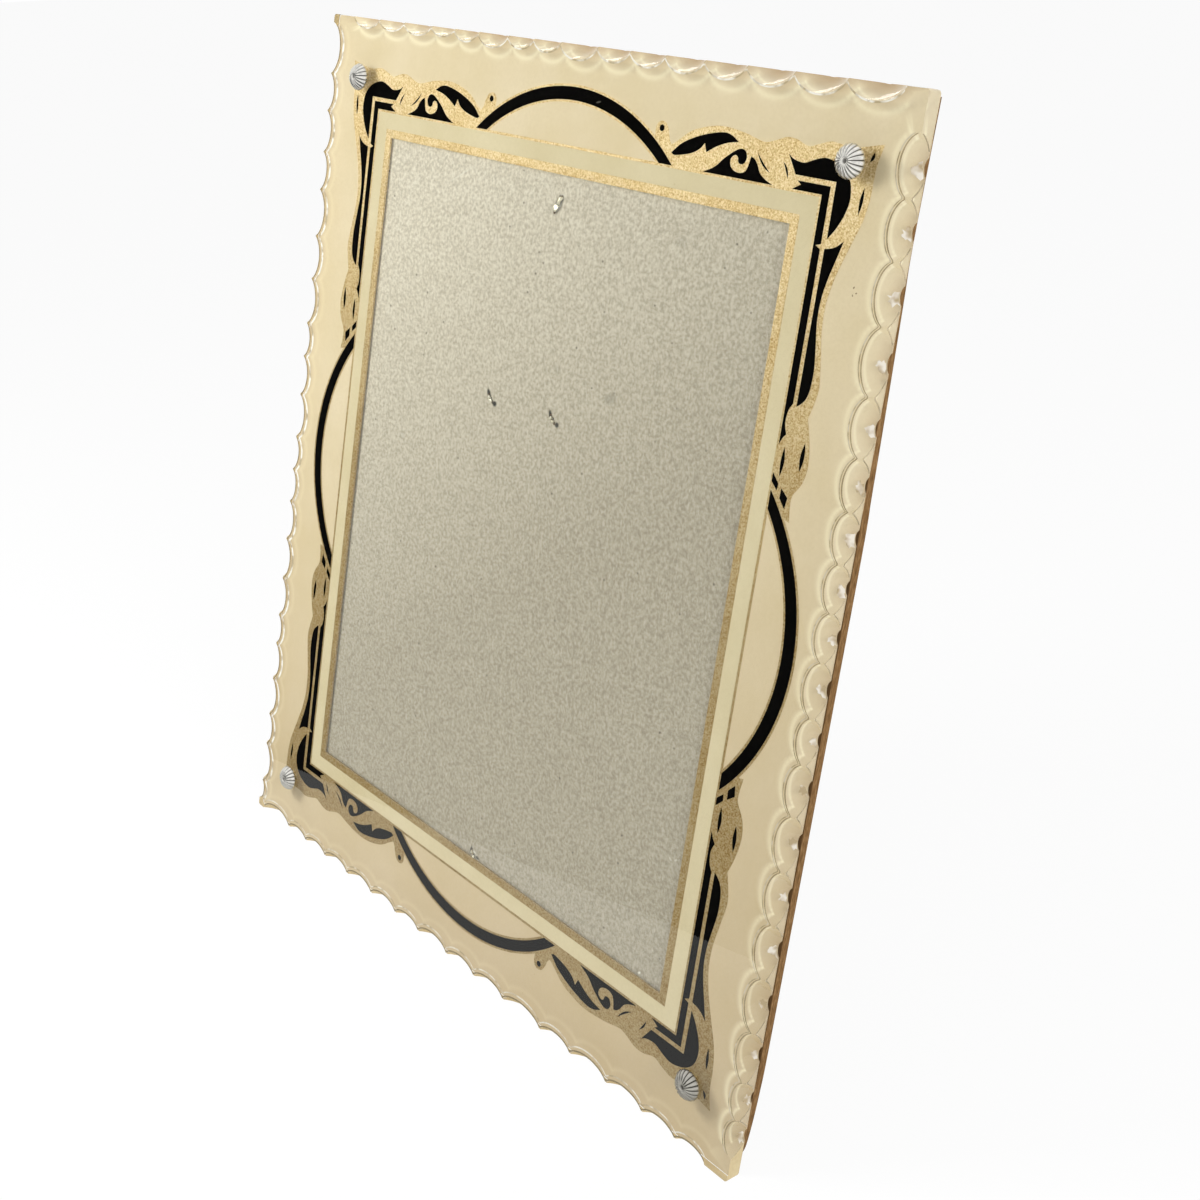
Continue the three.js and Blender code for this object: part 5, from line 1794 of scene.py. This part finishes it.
def seen_as_background(tree):
    """1 for rays from the camera, from mirrors and through glass, and 0 for those that light things."""
    ray = add(tree, "LightPath")
    sent_on = add(tree, "Math", {
        0: ray.outputs["Is Glossy Ray"], 1: ray.outputs["Is Transmission Ray"],
    }, operation="MAXIMUM")
    seen = add(tree, "Math", {0: ray.outputs["Is Camera Ray"], 1: sent_on.outputs[0]}, operation="MAXIMUM")
    return seen.outputs[0]


def floor_finish():
    material, tree, place = start_finish("matt white table")
    tooth = add(tree, "TexNoise", {"Vector": place, "Scale": per(TOOTH_MM), "Detail": 3.0})
    shade = add(tree, "ValToRGB", {"Fac": tooth.outputs["Fac"]}, stops=[(0.3, "#F1F1F0"), (0.7, "#F5F5F4")])
    dull = add(tree, "BsdfDiffuse", {"Color": shade.outputs["Color"]})
    white = add(tree, "Emission", {"Color": (1, 1, 1, 1), "Strength": WHITE_STRENGTH})
    share = add(tree, "Math", {0: seen_as_background(tree), 1: WHITE_SHARE}, operation="MULTIPLY")
    both = add(tree, "MixShader", {0: share.outputs[0], 1: dull.outputs[0], 2: white.outputs[0]})
    add(tree, "OutputMaterial", {"Surface": both.outputs[0]})
    return material


def card(name, corners, finish):
    """Flat staging card through four corners, in metres."""
    data = bpy.data.meshes.new(name)
    data.from_pydata(corners, [], [(0, 1, 2, 3)])
    data.materials.append(finish)
    made = bpy.data.objects.new(name, data)
    bpy.context.scene.collection.objects.link(made)
    return made


table_corners = [(x * FLOOR, y * FLOOR, 0) for x, y in ((-1, -1), (1, -1), (1, 1), (-1, 1))]
card("table", table_corners, floor_finish())
print(f"table {2 * FLOOR:.0f} m wide")

# %% [markdown]
# ## Cards
# Polished glass shows what stands round it. Dark cards in front keep a white room out of the black
# paint, as a photographer's flag would. A pale one lies before the frame's foot, and one bright
# window high at the left back gives the flakes and rosettes their glints. Only reflections see
# them: they are hidden from the camera, cast no shadow and light nothing dull.

# %% Cards that only reflections see
def card_finish(name, colour, strength):
    material, tree, _ = start_finish(name)
    glow = add(tree, "Emission", {"Color": linear(colour), "Strength": strength}).outputs[0]
    add(tree, "OutputMaterial", {"Surface": glow})
    return material


dark_card = card_finish("dark grey card", "#242424", 1.0)
bright_card = card_finish("bright window", "#FFFFFF", 3.2)
pale_card = card_finish("pale card", "#CFCFCD", 1.0)
NEAR_LEFT, NEAR_RIGHT = (-0.18, -0.036), (0.04, -0.143)
FAR_RIGHT, FAR_LEFT = (-0.6, -1.1), (-1.3, -0.65)
FOOT_RIGHT, FOOT_LEFT = (0.3, -0.02), (-0.3, -0.02)
CARD_LIFT, CARD_HEIGHT = 0.001, 0.6
WINDOW_WAY, WINDOW_FAR, WINDOW_SIZE = Vector((-0.57, 0.53, 0.62)), 1.2, 0.5


def lying(*places):
    """Corners of a card just above the table."""
    return [(*place, CARD_LIFT) for place in places]


window_turn = WINDOW_WAY.to_track_quat("Z", "Y")
window_at = WINDOW_WAY.normalized() * WINDOW_FAR
upright = [(*FAR_LEFT, 0), (*FAR_RIGHT, 0), (*FAR_RIGHT, CARD_HEIGHT), (*FAR_LEFT, CARD_HEIGHT)]
window = [window_at + window_turn @ Vector((x, y, 0)) * WINDOW_SIZE / 2
          for x, y in ((-1, -1), (1, -1), (1, 1), (-1, 1))]
cards = [
    card("low dark card", lying(NEAR_LEFT, NEAR_RIGHT, FAR_RIGHT, FAR_LEFT), dark_card),
    card("upright dark card", upright, dark_card),
    card("pale card", lying(NEAR_LEFT, NEAR_RIGHT, FOOT_RIGHT, FOOT_LEFT), pale_card),
    card("bright window", window, bright_card),
]
for made in cards:
    made.visible_camera = made.visible_diffuse = made.visible_shadow = made.visible_transmission = False
print(len(cards), "cards")

# %% [markdown]
# ## Lamps and sky
# A small key lamp stands in front at the upper left, as the shadows beside the rosettes show, and a
# larger one at the right lights the sides of the flakes. A dim sky fills the shadows. It looks white
# to the camera and through glass, but lights the frame at less than a third of that.

# %% Lamps and world
# place on the panel's axes in millimetres, size in metres and strength in watts
LAMPS = {
    "key lamp": ((-300, -400, 180), 0.2, 1.9),
    "side lamp": ((700, -160, 200), 0.4, 3.0),
}
SKY = 0.30

for name, (place, size, watts) in LAMPS.items():
    at = PANEL @ (Vector(place) * MM)
    lamp = bpy.data.lights.new(name, "AREA")
    lamp.shape, lamp.size, lamp.energy = "SQUARE", size, watts
    hung = bpy.data.objects.new(name, lamp)
    hung.location = at
    hung.visible_glossy = False
    hung.rotation_euler = (PANEL.translation - at).to_track_quat("-Z", "Y").to_euler()
    bpy.context.scene.collection.objects.link(hung)

world = bpy.data.worlds.new("white studio")
bpy.context.scene.world = world
world.use_nodes = True
tree = world.node_tree
tree.nodes.clear()
strength = add(tree, "MapRange", {"Value": seen_as_background(tree), 1: 0.0, 2: 1.0, 3: SKY, 4: 1.0})
sky = add(tree, "Background", {"Color": (1, 1, 1, 1), "Strength": strength.outputs[0]})
add(tree, "OutputWorld", {"Surface": sky.outputs[0]})
bpy.context.scene.view_settings.view_transform = "Standard"
print(len(LAMPS), "lamps and a sky of strength", SKY)
